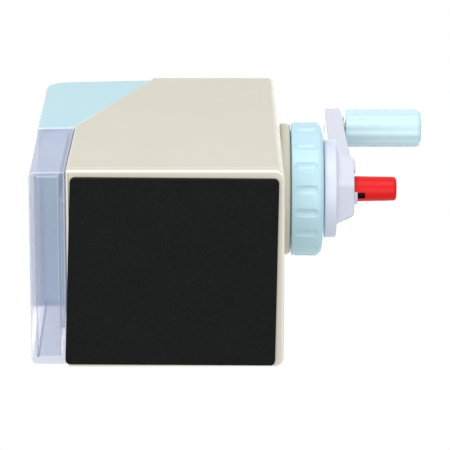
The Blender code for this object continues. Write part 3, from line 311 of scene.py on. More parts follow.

# %% [markdown]
# ## Moulded plastic finishes
#
# The body is moulded in plain coloured plastic. A real moulding is never one flat colour: the
# pigment drifts a little, the gloss changes over a few millimetres, and the mould leaves a fine
# grain. Each of these is a noise pattern on the object's own coordinates, so that it stays in
# place when the piece moves. Numbers that are the same everywhere are set on the shader.
#
# The rounded edges and seams show as thin light lines. That highlight is painted: the body's two
# colours each get a paler copy for their rounded edges, a painted highlight.

# %% Moulded plastic
def linear(red, green, blue):
    """Turns a colour as seen on a screen, 0 to 255, into the numbers that light uses."""
    return tuple(
        c / 255 / 12.92 if c / 255 <= 0.04045 else ((c / 255 + 0.055) / 1.055) ** 2.4
        for c in (red, green, blue)
    ) + (1.0,)


def new_finish(name):
    """A material, its nodes and links, its shader, and object coordinates."""
    paint = bpy.data.materials.new(name)
    paint.use_nodes = True
    tree = paint.node_tree
    place = tree.nodes.new("ShaderNodeTexCoord")
    return paint, tree.nodes, tree.links, tree.nodes["Principled BSDF"], place.outputs["Object"]


def noise(nodes, links, place, scale, detail=2.0, stretch=(1, 1, 1)):
    """A noise pattern, drawn out along an axis where stretch is below 1."""
    mapping = nodes.new("ShaderNodeMapping")
    mapping.inputs["Scale"].default_value = stretch
    pattern = nodes.new("ShaderNodeTexNoise")
    pattern.inputs["Scale"].default_value = scale
    pattern.inputs["Detail"].default_value = detail
    links.new(place, mapping.inputs["Vector"])
    links.new(mapping.outputs[0], pattern.inputs["Vector"])
    return pattern.outputs["Fac"]


def two_tone(nodes, links, factor, dark, light):
    """Colours that a pattern mixes."""
    ramp = nodes.new("ShaderNodeValToRGB")
    ramp.color_ramp.elements[0].position = 0.3
    ramp.color_ramp.elements[0].color = dark
    ramp.color_ramp.elements[1].position = 0.7
    ramp.color_ramp.elements[1].color = light
    links.new(factor, ramp.inputs["Fac"])
    return ramp.outputs["Color"]


def between(nodes, links, factor, low, high):
    """A pattern scaled to run from low to high."""
    scaled = nodes.new("ShaderNodeMapRange")
    scaled.inputs["From Min"].default_value = 0.3
    scaled.inputs["From Max"].default_value = 0.7
    scaled.inputs["To Min"].default_value = low
    scaled.inputs["To Max"].default_value = high
    links.new(factor, scaled.inputs["Value"])
    return scaled.outputs["Result"]


def grain(nodes, links, shader, height, depth):
    """A raised pattern of this depth in metres."""
    bump = nodes.new("ShaderNodeBump")
    bump.inputs["Strength"].default_value = 1.0
    bump.inputs["Distance"].default_value = depth
    links.new(height, bump.inputs["Height"])
    links.new(bump.outputs["Normal"], shader.inputs["Normal"])


def plastic(name, colour, roughness, drift=0.03, texture=1500, depth=0.000004, shine=0.35):
    """Moulded plastic with drifting pigment, uneven gloss and a fine grain."""
    paint, nodes, links, shader, place = new_finish(name)
    dark = tuple(c * (1 - drift) for c in colour[:3]) + (1.0,)
    light = tuple(min(1.0, c * (1 + drift)) for c in colour[:3]) + (1.0,)
    cloud = noise(nodes, links, place, 35, 3.0)
    links.new(two_tone(nodes, links, cloud, dark, light), shader.inputs["Base Color"])
    gloss = noise(nodes, links, place, 260, 4.0)
    links.new(between(nodes, links, gloss, roughness - 0.05, roughness + 0.06),
              shader.inputs["Roughness"])
    grain(nodes, links, shader, noise(nodes, links, place, texture, 3.0), depth)
    shader.inputs["IOR"].default_value = 1.5
    shader.inputs["Specular IOR Level"].default_value = shine
    return paint


BEIGE = linear(219, 216, 200)
CYAN = linear(190, 228, 239)
WHITE = linear(228, 232, 247)
beige_plastic = plastic("beige_moulded_plastic", BEIGE, 0.42, 0.012, 2600, 0.000005)
# Paler copies of the beige and the cyan for rounded edges and seams: painted highlight.
beige_painted_highlight = plastic("beige_painted_highlight_plastic", linear(245, 243, 230), 0.30, 0.015, 1800, 0.000002)
cyan_plastic = plastic("pale_cyan_plastic", CYAN, 0.34, 0.012, 1800, 0.000003)
cyan_painted_highlight = plastic("cyan_painted_highlight_plastic", linear(232, 247, 250), 0.28, 0.015, 1800, 0.000002)
white_plastic = plastic("white_crank_plastic", WHITE, 0.36, 0.008, 1800, 0.000002)
red_plastic = plastic("red_knob_plastic", linear(228, 16, 22), 0.40, 0.05, 1500, 0.000003, 0.25)
# A near-black red for the inside of the knob's notch: painted shade.
notch_painted_shade = plastic("notch_painted_shade", linear(58, 12, 14), 0.5, 0.2)
print("plastics:", [m.name for m in (beige_plastic, cyan_plastic, white_plastic, red_plastic)])

# %% [markdown]
# ## Translucent plastics
#
# The drawer is tinted see-through plastic: the head shows faintly through its floor, and its
# walls look denser where they are seen edge-on. A see-through amount that rises with the angle
# of view gives that without the dark shadows of real refraction. The collar and the grip are
# milky, so they are nearly solid, with light that spreads a little below the surface.

# %% Translucent plastics
def see_through(name, colour, roughness, facing_alpha, edge_alpha):
    """Tinted clear plastic, denser where it is seen edge-on."""
    paint = plastic(name, colour, roughness, 0.03, 900, 0.000002)
    nodes, links = paint.node_tree.nodes, paint.node_tree.links
    shader = nodes["Principled BSDF"]
    facing = nodes.new("ShaderNodeLayerWeight")
    facing.inputs["Blend"].default_value = 0.25
    density = nodes.new("ShaderNodeMapRange")
    density.inputs["To Min"].default_value = facing_alpha
    density.inputs["To Max"].default_value = edge_alpha
    links.new(facing.outputs["Facing"], density.inputs["Value"])
    links.new(density.outputs["Result"], shader.inputs["Alpha"])
    return paint


def milky(name, colour, roughness, drift):
    """Cloudy plastic that lets light in a little way."""
    paint = plastic(name, colour, roughness, drift, 1200, 0.000003)
    shader = paint.node_tree.nodes["Principled BSDF"]
    shader.inputs["Subsurface Weight"].default_value = 0.15
    shader.inputs["Subsurface Radius"].default_value = (0.6, 0.9, 1.0)
    shader.inputs["Subsurface Scale"].default_value = 0.002
    return paint


lavender_clear = see_through("lavender_clear_plastic", linear(216, 225, 255), 0.20, 0.19, 0.75)
# A paler, denser copy for the drawer's rounded edges: painted highlight.
lavender_painted_highlight = see_through("lavender_painted_highlight_plastic", linear(226, 230, 252), 0.20, 0.55, 0.85)
ice_plastic = milky("ice_blue_plastic", linear(200, 236, 250), 0.28, 0.02)
grip_plastic = milky("grip_blue_plastic", linear(212, 243, 250), 0.26, 0.02)
print("translucent plastics ready")

# %% [markdown]
# ## Metals, foam and nylon
#
# The screws, the pin and the guide are plated steel, with fine drawing lines along their length.
# The carrier is die-cast, so it has a coarse, dull skin. The cutter is ground steel with fine
# lines. The mat is black foam: many small open cells, darker inside, which is painted shade in
# the pits.

# %% Metals
def drawn_metal(name, colour, roughness, stretch, depth=0.000002):
    """Metal with fine lines drawn out along one axis."""
    paint, nodes, links, shader, place = new_finish(name)
    lines = noise(nodes, links, place, 2400, 4.0, stretch)
    dark = tuple(c * 0.82 for c in colour[:3]) + (1.0,)
    links.new(two_tone(nodes, links, lines, dark, colour), shader.inputs["Base Color"])
    stain = noise(nodes, links, place, 180, 3.0)
    links.new(between(nodes, links, stain, roughness - 0.06, roughness + 0.10),
              shader.inputs["Roughness"])
    grain(nodes, links, shader, lines, depth)
    shader.inputs["Metallic"].default_value = 1.0
    return paint


ALONG_X = (0.02, 1, 1)
ALONG_Z = (1, 1, 0.02)
plated_steel = drawn_metal("plated_steel", (0.62, 0.62, 0.64, 1), 0.28, ALONG_X)
upright_steel = drawn_metal("plated_screw_steel", (0.60, 0.60, 0.60, 1), 0.30, ALONG_Z)
ground_steel = drawn_metal("ground_tool_steel", (0.42, 0.42, 0.45, 1), 0.24, (1, 0.05, 0.05))
die_cast = drawn_metal("die_cast_zinc", (0.46, 0.46, 0.48, 1), 0.48, (0.6, 0.6, 0.6), 0.00001)
nylon = plastic("gear_nylon", linear(224, 222, 212), 0.5, 0.03, 1300, 0.000006)
print("metals ready")


# %% Foam
def foam(name, colour, cell, depth):
    """Closed-skin foam rubber: a field of tiny pits, darker in their middles as painted shade."""
    paint, nodes, links, shader, place = new_finish(name)
    pits = nodes.new("ShaderNodeTexVoronoi")
    pits.inputs["Scale"].default_value = 1 / cell
    links.new(place, pits.inputs["Vector"])
    dark = tuple(c * 0.6 for c in colour[:3]) + (1.0,)
    light = tuple(c * 1.35 for c in colour[:3]) + (1.0,)
    # The colour darkens towards the middle of each pit: painted shade in the pits.
    ramp = nodes.new("ShaderNodeValToRGB")
    ramp.color_ramp.elements[0].color = dark
    ramp.color_ramp.elements[1].color = light
    ramp.color_ramp.elements[1].position = 0.7
    links.new(pits.outputs["Distance"], ramp.inputs["Fac"])
    links.new(ramp.outputs["Color"], shader.inputs["Base Color"])
    patch = noise(nodes, links, place, 70, 4.0)
    links.new(between(nodes, links, patch, 0.82, 0.98), shader.inputs["Roughness"])
    grain(nodes, links, shader, pits.outputs["Distance"], depth)
    shader.inputs["Specular IOR Level"].default_value = 0.25
    return paint


black_foam = foam("black_foam", linear(20, 22, 22), 0.0006, 0.00006)
# A brownish black for the mat's cut sides: a painted reflection of the beige cover.
foam_side_painted_reflection = foam("cut_foam_side_painted_reflection", linear(44, 24, 14), 0.0005, 0.00008)
print("foam ready")

# %% [markdown]
# ## The tapered body
#
# Housing, head and drawer are cut from one tapered block, as if a single block of plastic were
# sawn along its seams. So the block comes first: a cube whose lower and upper faces are resized
# and moved to the body's size at their heights. Cutting all three pieces from the same block
# keeps their sides in line.

# %% Body block
BODY_HEIGHT = 112.0 * MM
AXIS = 82.1 * MM            # height of the crank's axis
SPLIT = 51.5 * MM           # the head starts here and the drawer ends just below
GAP = 0.3 * MM
WALL = 2.2 * MM
HALF_LENGTH = 34.65 * MM    # of the housing, at its foot
HALF_WIDTH = 33.0 * MM
BACK_DRAFT = 1.7 * MM       # how far the back and the sides lean in at the top
SIDE_DRAFT = 2.6 * MM
FRONT = -46.3 * MM          # face of the drawer at its foot
FRONT_LEAN = 0.01
DRAWER_SEAM_LEAN = 1.3 * MM
HEAD_SEAM_LEAN = 25.0 * MM
FRONT_TAPER = 0.0524        # drawer and head narrow by this share of their depth


def back_at(z):
    """Back face of the body at height z."""
    return HALF_LENGTH - BACK_DRAFT * z / BODY_HEIGHT


def front_at(z):
    """Front face of the body at height z."""
    return FRONT + FRONT_LEAN * z


def side_at(z):
    """Half width of the body at height z."""
    return HALF_WIDTH - SIDE_DRAFT * z / BODY_HEIGHT


def seam_at(z):
    """The line between the housing and what is in front of it, at height z."""
    if z < SPLIT:
        return -HALF_LENGTH + DRAWER_SEAM_LEAN * z / SPLIT
    share = (z - SPLIT) / (BODY_HEIGHT - SPLIT)
    return -HALF_LENGTH + DRAWER_SEAM_LEAN + HEAD_SEAM_LEAN * share


def body_block(name, bottom, top):
    """The tapered body between two heights."""
    block = primitive("cube", name, size=1, location=(0, 0, 0.5))
    edit(block)
    for level, z in ((0, bottom), (1, top)):
        pick("VERT", lambda v: abs(v.co.z - level) < 0.1)
        length, middle = back_at(z) - front_at(z), (back_at(z) + front_at(z)) / 2
        bpy.ops.transform.resize(value=(length, 2 * side_at(z), 1), center_override=(0, 0, level))
        bpy.ops.transform.translate(value=(middle, 0, z - level))
    return block


def seam_plane(low, high, shift):
    """A point on a seam and its direction towards the back, the seam moved back by shift."""
    run = Vector((seam_at(high) - seam_at(low), 0, high - low)).normalized()
    return (seam_at(low) + shift, 0, low), (run.z, 0, -run.x)


def cut_seam(low, high, shift, keep_back, fill=False):
    """Saws the open piece along a seam and drops one side."""
    point, direction = seam_plane(low, high, shift)
    bpy.ops.mesh.select_all(action="SELECT")
    bpy.ops.mesh.bisect(plane_co=point, plane_no=direction, use_fill=fill,
                        clear_inner=keep_back, clear_outer=not keep_back)


print("body", round(back_at(0) / MM - front_at(0) / MM, 1), "mm long at its foot")

# %% [markdown]
# ## Housing
#
# The housing is a thin shell, open at the front and below. The block is sawn along both seams,
# its foot is removed, and Solidify gives it a wall. The upright back corners are rounded before
# that, so the wall follows them. The top edges are rounded after, because their radius is
# smaller than the wall. The boss on the back is turned from a ring with rounded edges, whose
# groove against the wall shows as a pair of thin lines.

# %% Housing shell
HOUSING_FOOT = 4.2 * MM
BACK_CORNER = 3.1 * MM
TOP_EDGE = 1.5 * MM

housing = body_block("housing_shell", HOUSING_FOOT, BODY_HEIGHT)
cut_seam(HOUSING_FOOT, SPLIT - 0.001, 0, True)
cut_seam(SPLIT, BODY_HEIGHT, 0, True)
round_off(lambda e: all(v.co.x > 30 * MM for v in e.verts)
          and abs(e.verts[0].co.z - e.verts[1].co.z) > 50 * MM, BACK_CORNER, 8)
pick("FACE", lambda f: f.normal.z < -0.9)
bpy.ops.mesh.delete(type="FACE")
bpy.ops.mesh.select_all(action="SELECT")
bpy.ops.mesh.normals_make_consistent(inside=False)
done()
outer = len(housing.data.vertices)
modify(housing, "SOLIDIFY", thickness=WALL, offset=-1, use_even_offset=True)
edit(housing)
round_off(lambda e: all(v.index < outer and v.co.z > BODY_HEIGHT - 0.01 * MM for v in e.verts)
          and not all(v.co.x < 0 for v in e.verts), TOP_EDGE, 5)
done()
print("housing shell", len(housing.data.polygons), "faces")


# %% [markdown]
# Turned pieces share one helper. A single vertex is drawn out along the outline of half a
# cross-section, and Spin carries that line round the crank's axis. Merging closes the seam and
# the poles.

# %% Turned pieces
def turned(name, outline, steps=96, centre=(0, AXIS), closed=True):
    """A piece turned about a line along X, from (x, radius) points."""
    y, z = centre
    points = [Vector((x, y, z + radius)) for x, radius in outline]
    piece = primitive("plane", name, size=1)
    edit(piece)
    bpy.ops.mesh.select_all(action="SELECT")
    bpy.ops.mesh.merge(type="CENTER")
    bpy.ops.mesh.select_mode(type="VERT")
    bpy.ops.mesh.select_all(action="SELECT")
    bpy.ops.transform.translate(value=points[0])
    for old, new in zip(points, points[1:]):
        bpy.ops.mesh.extrude_region_move(TRANSFORM_OT_translate={"value": new - old})
    if closed:
        pick("VERT", lambda v: len(v.link_edges) == 1)
        bpy.ops.mesh.edge_face_add()
    bpy.ops.mesh.select_all(action="SELECT")
    bpy.ops.mesh.spin(steps=steps, angle=tau, center=(0, y, z), axis=(1, 0, 0))
    bpy.ops.mesh.select_all(action="SELECT")
    bpy.ops.mesh.remove_doubles(threshold=1e-6)
    bpy.ops.mesh.normals_make_consistent(inside=False)
    done()
    return piece


def circle_at(x, radius, centre=(0, AXIS)):
    """A test for the edges of the circle at this x and radius."""
    def test(edge):
        return all(abs(v.co.x - x) < 0.02 * MM
                   and abs(hypot(v.co.y - centre[0], v.co.z - centre[1]) - radius) < 0.03 * MM
                   for v in edge.verts)
    return test


# %% Boss
BOSS_FACE = 37.6 * MM
BOSS_RADIUS = 22.2 * MM
BOSS_EDGE = 1.1 * MM
BOSS_STEP = 34.1 * MM       # the boss is thinner in front of this, which leaves a groove
BOSS_NECK = 20.9 * MM
BOSS_ROOT = 31.0 * MM       # inside the wall
BORE = 17.4 * MM
BORE_LAP = BORE - 1 * MM    # the boss is made a little too thick and then bored

boss = turned("boss", [(BOSS_ROOT, BORE_LAP), (BOSS_ROOT, BOSS_NECK), (BOSS_STEP, BOSS_NECK),
                       (BOSS_STEP, BOSS_RADIUS), (BOSS_FACE, BOSS_RADIUS),
                       (BOSS_FACE, BORE_LAP)], 128)
edit(boss)
round_off(circle_at(BOSS_STEP, BOSS_RADIUS), BOSS_EDGE, 5)
round_off(circle_at(BOSS_FACE, BOSS_RADIUS), BOSS_EDGE, 5)
done()
combine(housing, boss, "UNION")
bore = primitive("cylinder", "bore", vertices=128, radius=BORE, depth=20 * MM,
                 location=(BOSS_FACE, 0, AXIS), rotation=(0, pi / 2, 0))
combine(housing, bore, "DIFFERENCE")
print("boss", round(2 * BOSS_RADIUS / MM, 1), "mm across")

# %% Screw posts inside the housing
POST_RADIUS = 3.3 * MM
POST_HEIGHT = 9.5 * MM
POST_X = 28.0 * MM
POST_Y = 27.6 * MM
POST_MIDDLE = 10.2 * MM

for side_x in (-1, 1):
    for side_y in (-1, 1):
        post = primitive("cylinder", "post", vertices=32, radius=POST_RADIUS, depth=POST_HEIGHT,
                         location=(side_x * POST_X, side_y * POST_Y, POST_MIDDLE))
        combine(housing, post, "UNION")
# The small rounds get the paler beige: a painted highlight along the edges.
soften(housing, 0.45 * MM, 3, edge_highlight_slot=1)
place_piece(housing, "body", "beige_plastic", ["housing"], beige_plastic, beige_painted_highlight)

# %% [markdown]
# ## Head
#
# The head is the upper front corner of the block: a shell with a floor, open where it meets the
# housing. Its sides draw in a little towards the front. Its nose has a large round and its other
# front edges a small one. The round edge along the seam catches the light as a thin bright line,
# so it is kept generous, and the small rounds are painted in a paler cyan as a painted highlight.

# %% Head cover
NOSE = 7.0 * MM
HEAD_HOLE = 6.3 * MM


def narrow_front(bottom, top):
    """Draws the front of the open piece in, by the same slope at its foot and its top."""
    for z in (bottom, top):
        pick("VERT", lambda v: abs(v.co.z - z) < 1e-6 and abs(v.co.x - front_at(z)) < 1e-6)
        narrower = 1 - FRONT_TAPER * (seam_at(z) - front_at(z)) / side_at(z)
        bpy.ops.transform.resize(value=(1, narrower, 1), center_override=(0, 0, z))


head = body_block("head_shell", SPLIT, BODY_HEIGHT)
narrow_front(SPLIT, BODY_HEIGHT)
cut_seam(SPLIT, BODY_HEIGHT, -GAP, False)
bpy.ops.mesh.select_all(action="SELECT")
bpy.ops.mesh.normals_make_consistent(inside=False)
done()
outer = len(head.data.vertices)
modify(head, "SOLIDIFY", thickness=WALL, offset=-1, use_even_offset=True)
edit(head)
round_off(lambda e: all(v.index < outer and v.co.z > BODY_HEIGHT - 0.01 * MM
                        and v.co.x < front_at(BODY_HEIGHT) + 0.1 * MM for v in e.verts), NOSE, 10)
done()
hole = primitive("cylinder", "hole", vertices=96, radius=HEAD_HOLE, depth=20 * MM,
                 location=(front_at(AXIS), 0, AXIS), rotation=(0, pi / 2, 0))
combine(head, hole, "DIFFERENCE")
# The small rounds get the paler cyan: a painted highlight along the edges and the seam.
soften(head, 0.55 * MM, 3, edge_highlight_slot=1)
place_piece(head, "body", "cyan_plastic", ["head_cover"], cyan_plastic, cyan_painted_highlight)

# %% [markdown]
# ## Drawer
#
# The drawer has a front that fills the lower front corner of the body, and a tub that reaches
# back under the cutter. The front is a box with walls 2 mm thick and no lid. The tub is joined
# to it as a solid bar and then hollowed out through the wall between them, so that shavings can
# spread into both.

# %% Drawer
DRAWER_WALL = 2.0 * MM
DRAWER_FOOT = 1.5 * MM
DRAWER_TOP = SPLIT - GAP
TUB_HALF = 23.8 * MM
TUB_BACK = 25.95 * MM
TUB_TOP = 46.0 * MM
TUB_FOOT = 4.2 * MM


def box(name, low, high):
    """A straight box between two corners."""
    middle = [(a + b) / 2 for a, b in zip(low, high)]
    size = [b - a for a, b in zip(low, high)]
    return primitive("cube", name, size=1, location=middle, scale=size)


drawer = body_block("drawer_tray", DRAWER_FOOT, DRAWER_TOP)
narrow_front(DRAWER_FOOT, DRAWER_TOP)
cut_seam(DRAWER_FOOT, DRAWER_TOP, -GAP, False, True)
round_off(lambda e: all(v.co.x < front_at(v.co.z) + 0.1 * MM for v in e.verts)
          and abs(e.verts[0].co.z - e.verts[1].co.z) > 30 * MM, 2.0 * MM, 6)
pick("FACE", lambda f: f.normal.z > 0.9)
bpy.ops.mesh.delete(type="FACE")
bpy.ops.mesh.select_all(action="SELECT")
bpy.ops.mesh.normals_make_consistent(inside=False)
done()
modify(drawer, "SOLIDIFY", thickness=DRAWER_WALL, offset=-1, use_even_offset=True)
TUB_START = -36.6 * MM
tub = box("tub", (TUB_START, -TUB_HALF, TUB_FOOT), (TUB_BACK, TUB_HALF, TUB_TOP))
combine(drawer, tub, "UNION")
inside = box("inside", (TUB_START - 3 * MM, DRAWER_WALL - TUB_HALF, TUB_FOOT + DRAWER_WALL),
             (TUB_BACK - DRAWER_WALL, TUB_HALF - DRAWER_WALL, DRAWER_TOP + 5 * MM))
combine(drawer, inside, "DIFFERENCE")
# The small rounds get the paler lavender: a painted highlight along the edges.
soften(drawer, 0.5 * MM, 3, edge_highlight_slot=1)
place_piece(drawer, "drawer", "lavender_translucent", ["drawer"], lavender_clear, lavender_painted_highlight)

# %% [markdown]
# ## Base cover and foam mat
#
# The base cover closes the housing below. Its lower edge is rounded, and that round shows as a
# bright band round the mat; the round is painted in the paler beige, a painted highlight. The mat
# is cut and stuck on by hand, so no two of its sides are quite parallel: its four corners are
# moved to their own places. Its cut sides are painted a brownish black, a painted reflection of
# the beige cover.

# %% Base cover
COVER_FOOT = 1.5 * MM
COVER_TOP = 3.9 * MM
COVER_LIP = 0.5 * MM        # how far it stands out on one side
FRONT_CORNER = 0.8 * MM

cover = primitive("cube", "base_cover", size=1, location=(0, 0, 0.5))
edit(cover)
bpy.ops.mesh.select_all(action="SELECT")
cover_size = (2 * HALF_LENGTH, 2 * HALF_WIDTH, COVER_TOP - COVER_FOOT)
bpy.ops.transform.resize(value=cover_size, center_override=(0, 0, 0))
bpy.ops.transform.translate(value=(0, 0, COVER_FOOT))
round_off(lambda e: abs(e.verts[0].co.z - e.verts[1].co.z) > 1 * MM and e.verts[0].co.x > 0,
          BACK_CORNER, 8)
round_off(lambda e: abs(e.verts[0].co.z - e.verts[1].co.z) > 1 * MM and e.verts[0].co.x < -34 * MM
          and len(e.link_faces) == 2, FRONT_CORNER, 4)
pick("VERT", lambda v: v.co.y > 25 * MM)
bpy.ops.transform.translate(value=(0, COVER_LIP, 0))
round_off(lambda e: all(v.co.z < COVER_FOOT + 0.01 * MM for v in e.verts), 1.0 * MM, 5)
done()
place_piece(cover, "body", "beige_plastic", ["base_plate"], beige_plastic, beige_painted_highlight)
# The lower round gets the paler beige: a painted highlight for the bright band round the mat.
for face in cover.data.polygons:
    face.material_index = 1 if -0.97 < face.normal.z < -0.2 else 0

# %% Foam mat
MAT_TOP = 1.48 * MM
MAT_CORNERS = {(-1, -1): (-33.2, -30.8), (1, -1): (32.9, -30.3), (1, 1): (31.8, 32.4),
               (-1, 1): (-35.4, 32.0)}

mat = primitive("cube", "foam_pad", size=2, location=(0, 0, 1))
edit(mat)
for (side_x, side_y), (x, y) in MAT_CORNERS.items():
    pick("VERT", lambda v: v.co.x * side_x > 0.5 and v.co.y * side_y > 0.5)
    bpy.ops.transform.translate(value=(x * MM - side_x, y * MM - side_y, 0))
bpy.ops.mesh.select_all(action="SELECT")
bpy.ops.transform.resize(value=(1, 1, MAT_TOP / 2), center_override=(0, 0, 0))
round_off(lambda e: abs(e.verts[0].co.z - e.verts[1].co.z) > 1 * MM, 1.6 * MM, 6)
round_off(lambda e: all(v.co.z < 0.01 * MM for v in e.verts), 0.18 * MM, 3)
done()
place_piece(mat, "body", "black_foam", ["foam_mat"], black_foam, foam_side_painted_reflection)
# The sides get the brownish finish: a painted reflection of the beige cover.
for face in mat.data.polygons:
    face.material_index = 1 if abs(face.normal.z) < 0.5 else 0

# %% [markdown]
# ## Collar
#
# The collar is a milky ring with a soft outer edge, and eighteen short grooves for the fingers.
# One groove is a bar with round ends, made from a sphere whose back half is moved away. The
# eighteen copies are cut out of the ring together.

# %% Collar
COLLAR_FACE = 37.9 * MM
COLLAR_END = 48.7 * MM
COLLAR_RADIUS = 22.66 * MM
COLLAR_WALL = 2.5 * MM
SLEEVE_START = 26.7 * MM
SLEEVE_RADIUS = 17.0 * MM
SLEEVE_BORE = 13.3 * MM
SHAFT_BORE = 8.4 * MM

collar = turned("collar_ring", [
    (SLEEVE_START, SLEEVE_BORE), (SLEEVE_START, SLEEVE_RADIUS), (COLLAR_FACE, SLEEVE_RADIUS),
    (COLLAR_FACE, COLLAR_RADIUS), (COLLAR_END, COLLAR_RADIUS), (COLLAR_END, SHAFT_BORE),
    (COLLAR_END - COLLAR_WALL, SHAFT_BORE), (COLLAR_END - COLLAR_WALL, COLLAR_RADIUS - COLLAR_WALL),
    (COLLAR_FACE + COLLAR_WALL, COLLAR_RADIUS - COLLAR_WALL),
    (COLLAR_FACE + COLLAR_WALL, SLEEVE_BORE),
], 144)
edit(collar)
round_off(circle_at(COLLAR_END, COLLAR_RADIUS), 2.3 * MM, 8)
round_off(circle_at(COLLAR_FACE, COLLAR_RADIUS), 0.6 * MM, 3)
done()
print("collar ring", len(collar.data.polygons), "faces")

# %% Finger grooves
GROOVES = 18
GROOVE_RADIUS = 2.1 * MM
GROOVE_DEPTH = 0.75 * MM
GROOVE_LENGTH = 7.4 * MM
GROOVE_MIDDLE = 42.9 * MM
GROOVE_PHASE = radians(2.5)

groove = primitive("uv_sphere", "groove", segments=32, ring_count=16, radius=GROOVE_RADIUS,
                   rotation=(0, pi / 2, 0))
edit(groove)
for end in (-1, 1):
    pick("VERT", lambda v: v.co.x * end > 0.01 * MM)
    bpy.ops.transform.translate(value=(end * (GROOVE_LENGTH / 2 - GROOVE_RADIUS * 0.65), 0, 0))
done()
reach = COLLAR_RADIUS + GROOVE_RADIUS - GROOVE_DEPTH
for index in range(GROOVES):
    tool = groove.copy()
    tool.data = groove.data.copy()
    scene.collection.objects.link(tool)
    angle = GROOVE_PHASE + tau * index / GROOVES
    tool.location = (GROOVE_MIDDLE, reach * sin(angle), AXIS - reach * cos(angle))
    tool.rotation_euler.x = angle
    bpy.context.view_layer.update()
    combine(collar, tool, "DIFFERENCE")
bpy.data.objects.remove(groove)
soften(collar, 0.15 * MM, 2, 30)
place_piece(collar, "collar", "ice_translucent", ["collar"], ice_plastic)

# %% [markdown]
# ## Crank
#
# Hub and arm are one moulding. The hub is a disc with a six-sided, tapering end, from a cone
# with six sides. The arm is a cylinder whose lower half is drawn down to the hub, which makes a
# bar with one round end. Both are built upright and turned together to the arm's tilt.

# %% Hub
ARM_TILT = radians(5.79)
HUB_FACE = 49.0 * MM
HUB_DISC = 4.3 * MM
HUB_END = 59.2 * MM
HUB_RADIUS = 16.6 * MM
SHAFT_START = 38.8 * MM
SHAFT_RADIUS = 8.0 * MM
disc_end = HUB_FACE + HUB_DISC

crank = turned("crank_arm", [
    (SHAFT_START, 0), (SHAFT_START, SHAFT_RADIUS), (HUB_FACE, SHAFT_RADIUS), (HUB_FACE, HUB_RADIUS),
    (disc_end, HUB_RADIUS), (disc_end, 0),
], 128, closed=False)
edit(crank)
round_off(circle_at(HUB_FACE, HUB_RADIUS), 0.7 * MM, 4)
round_off(circle_at(disc_end, HUB_RADIUS), 0.7 * MM, 4)
done()

HEX_LARGE = 14.8 * MM
HEX_SMALL = 11.3 * MM
hex_start = disc_end - 0.4 * MM
hexagon = primitive("cone", "hexagon", vertices=6, radius1=HEX_LARGE, radius2=HEX_SMALL,
                    depth=HUB_END - hex_start, rotation=(0, pi / 2, 0),
                    location=((HUB_END + hex_start) / 2, 0, AXIS))
edit(hexagon)
round_off(lambda e: abs(e.verts[0].co.x - e.verts[1].co.x) > 3 * MM, 0.9 * MM, 4)
round_off(lambda e: all(v.co.x > HUB_END - 0.01 * MM for v in e.verts), 0.5 * MM, 3)
done()
low_corner = min(hexagon.data.vertices, key=lambda v: v.co.z).co
print("hexagon's lowest corner", round(degrees(atan2(low_corner.y, AXIS - low_corner.z)), 1),
      "degrees from straight down")
combine(crank, hexagon, "UNION")

# %% Arm
CRANK_RADIUS = 52.0 * MM
TIP_RADIUS = 6.9 * MM
ROOT_HALF = 7.6 * MM
ROOT_HEIGHT = 8.3 * MM
ROOT_SPAN = (2.7 * MM, 9.4 * MM)
TIP_SPAN = (1.5 * MM, 7.2 * MM)

arm = primitive("cylinder", "arm", vertices=64, radius=TIP_RADIUS, depth=1,
                rotation=(0, pi / 2, 0), location=(0, 0, AXIS + CRANK_RADIUS))
edit(arm)
tip_height = AXIS + CRANK_RADIUS
for face, root, tip in ((-1, ROOT_SPAN[0], TIP_SPAN[0]), (1, ROOT_SPAN[1], TIP_SPAN[1])):
    pick("VERT", lambda v: v.co.x * face > 0.1 and v.co.z > tip_height - 0.01 * MM)
    bpy.ops.transform.translate(value=(HUB_FACE + tip - face * 0.5, 0, 0))
    pick("VERT", lambda v: abs(v.co.x - face * 0.5) < 0.001 and v.co.z < tip_height - 0.01 * MM)
    bpy.ops.transform.resize(value=(1, ROOT_HALF / TIP_RADIUS, 0.2),
                             center_override=(0, 0, tip_height))
    bpy.ops.transform.translate(value=(HUB_FACE + root - face * 0.5, 0, ROOT_HEIGHT - CRANK_RADIUS))
done()
edit(arm)
round_off(lambda e: sum(abs(f.normal.x) > 0.9 for f in e.link_faces) == 1
          and max(v.co.z for v in e.verts) > AXIS + HUB_RADIUS, 0.6 * MM, 4)
done()
combine(crank, arm, "UNION")
print("arm", round((CRANK_RADIUS + TIP_RADIUS) / MM, 1), "mm long")

# %% [markdown]
# A half ring round the knob and a raised dot mark the point adjuster's two ends. Both are
# turned or added as their own shapes and joined to the hub.

# %% Index marks and bores
KNOB_BORE = 4.6 * MM
KNOB_BORE_START = 52.2 * MM
SPRING_BORE = 3.4 * MM
SPRING_BORE_START = 40.5 * MM
STOP_BORE = 1.7 * MM
PIN_BORE = 2.3 * MM
INDEX_TOP = HUB_END + 1.2 * MM
INDEX_INNER = KNOB_BORE - 0.1 * MM
INDEX_OUTER = KNOB_BORE + 0.8 * MM
DOT_RADIUS = 2.1 * MM
DOT_PLACE = (-6.6 * MM, AXIS + 3 * MM)

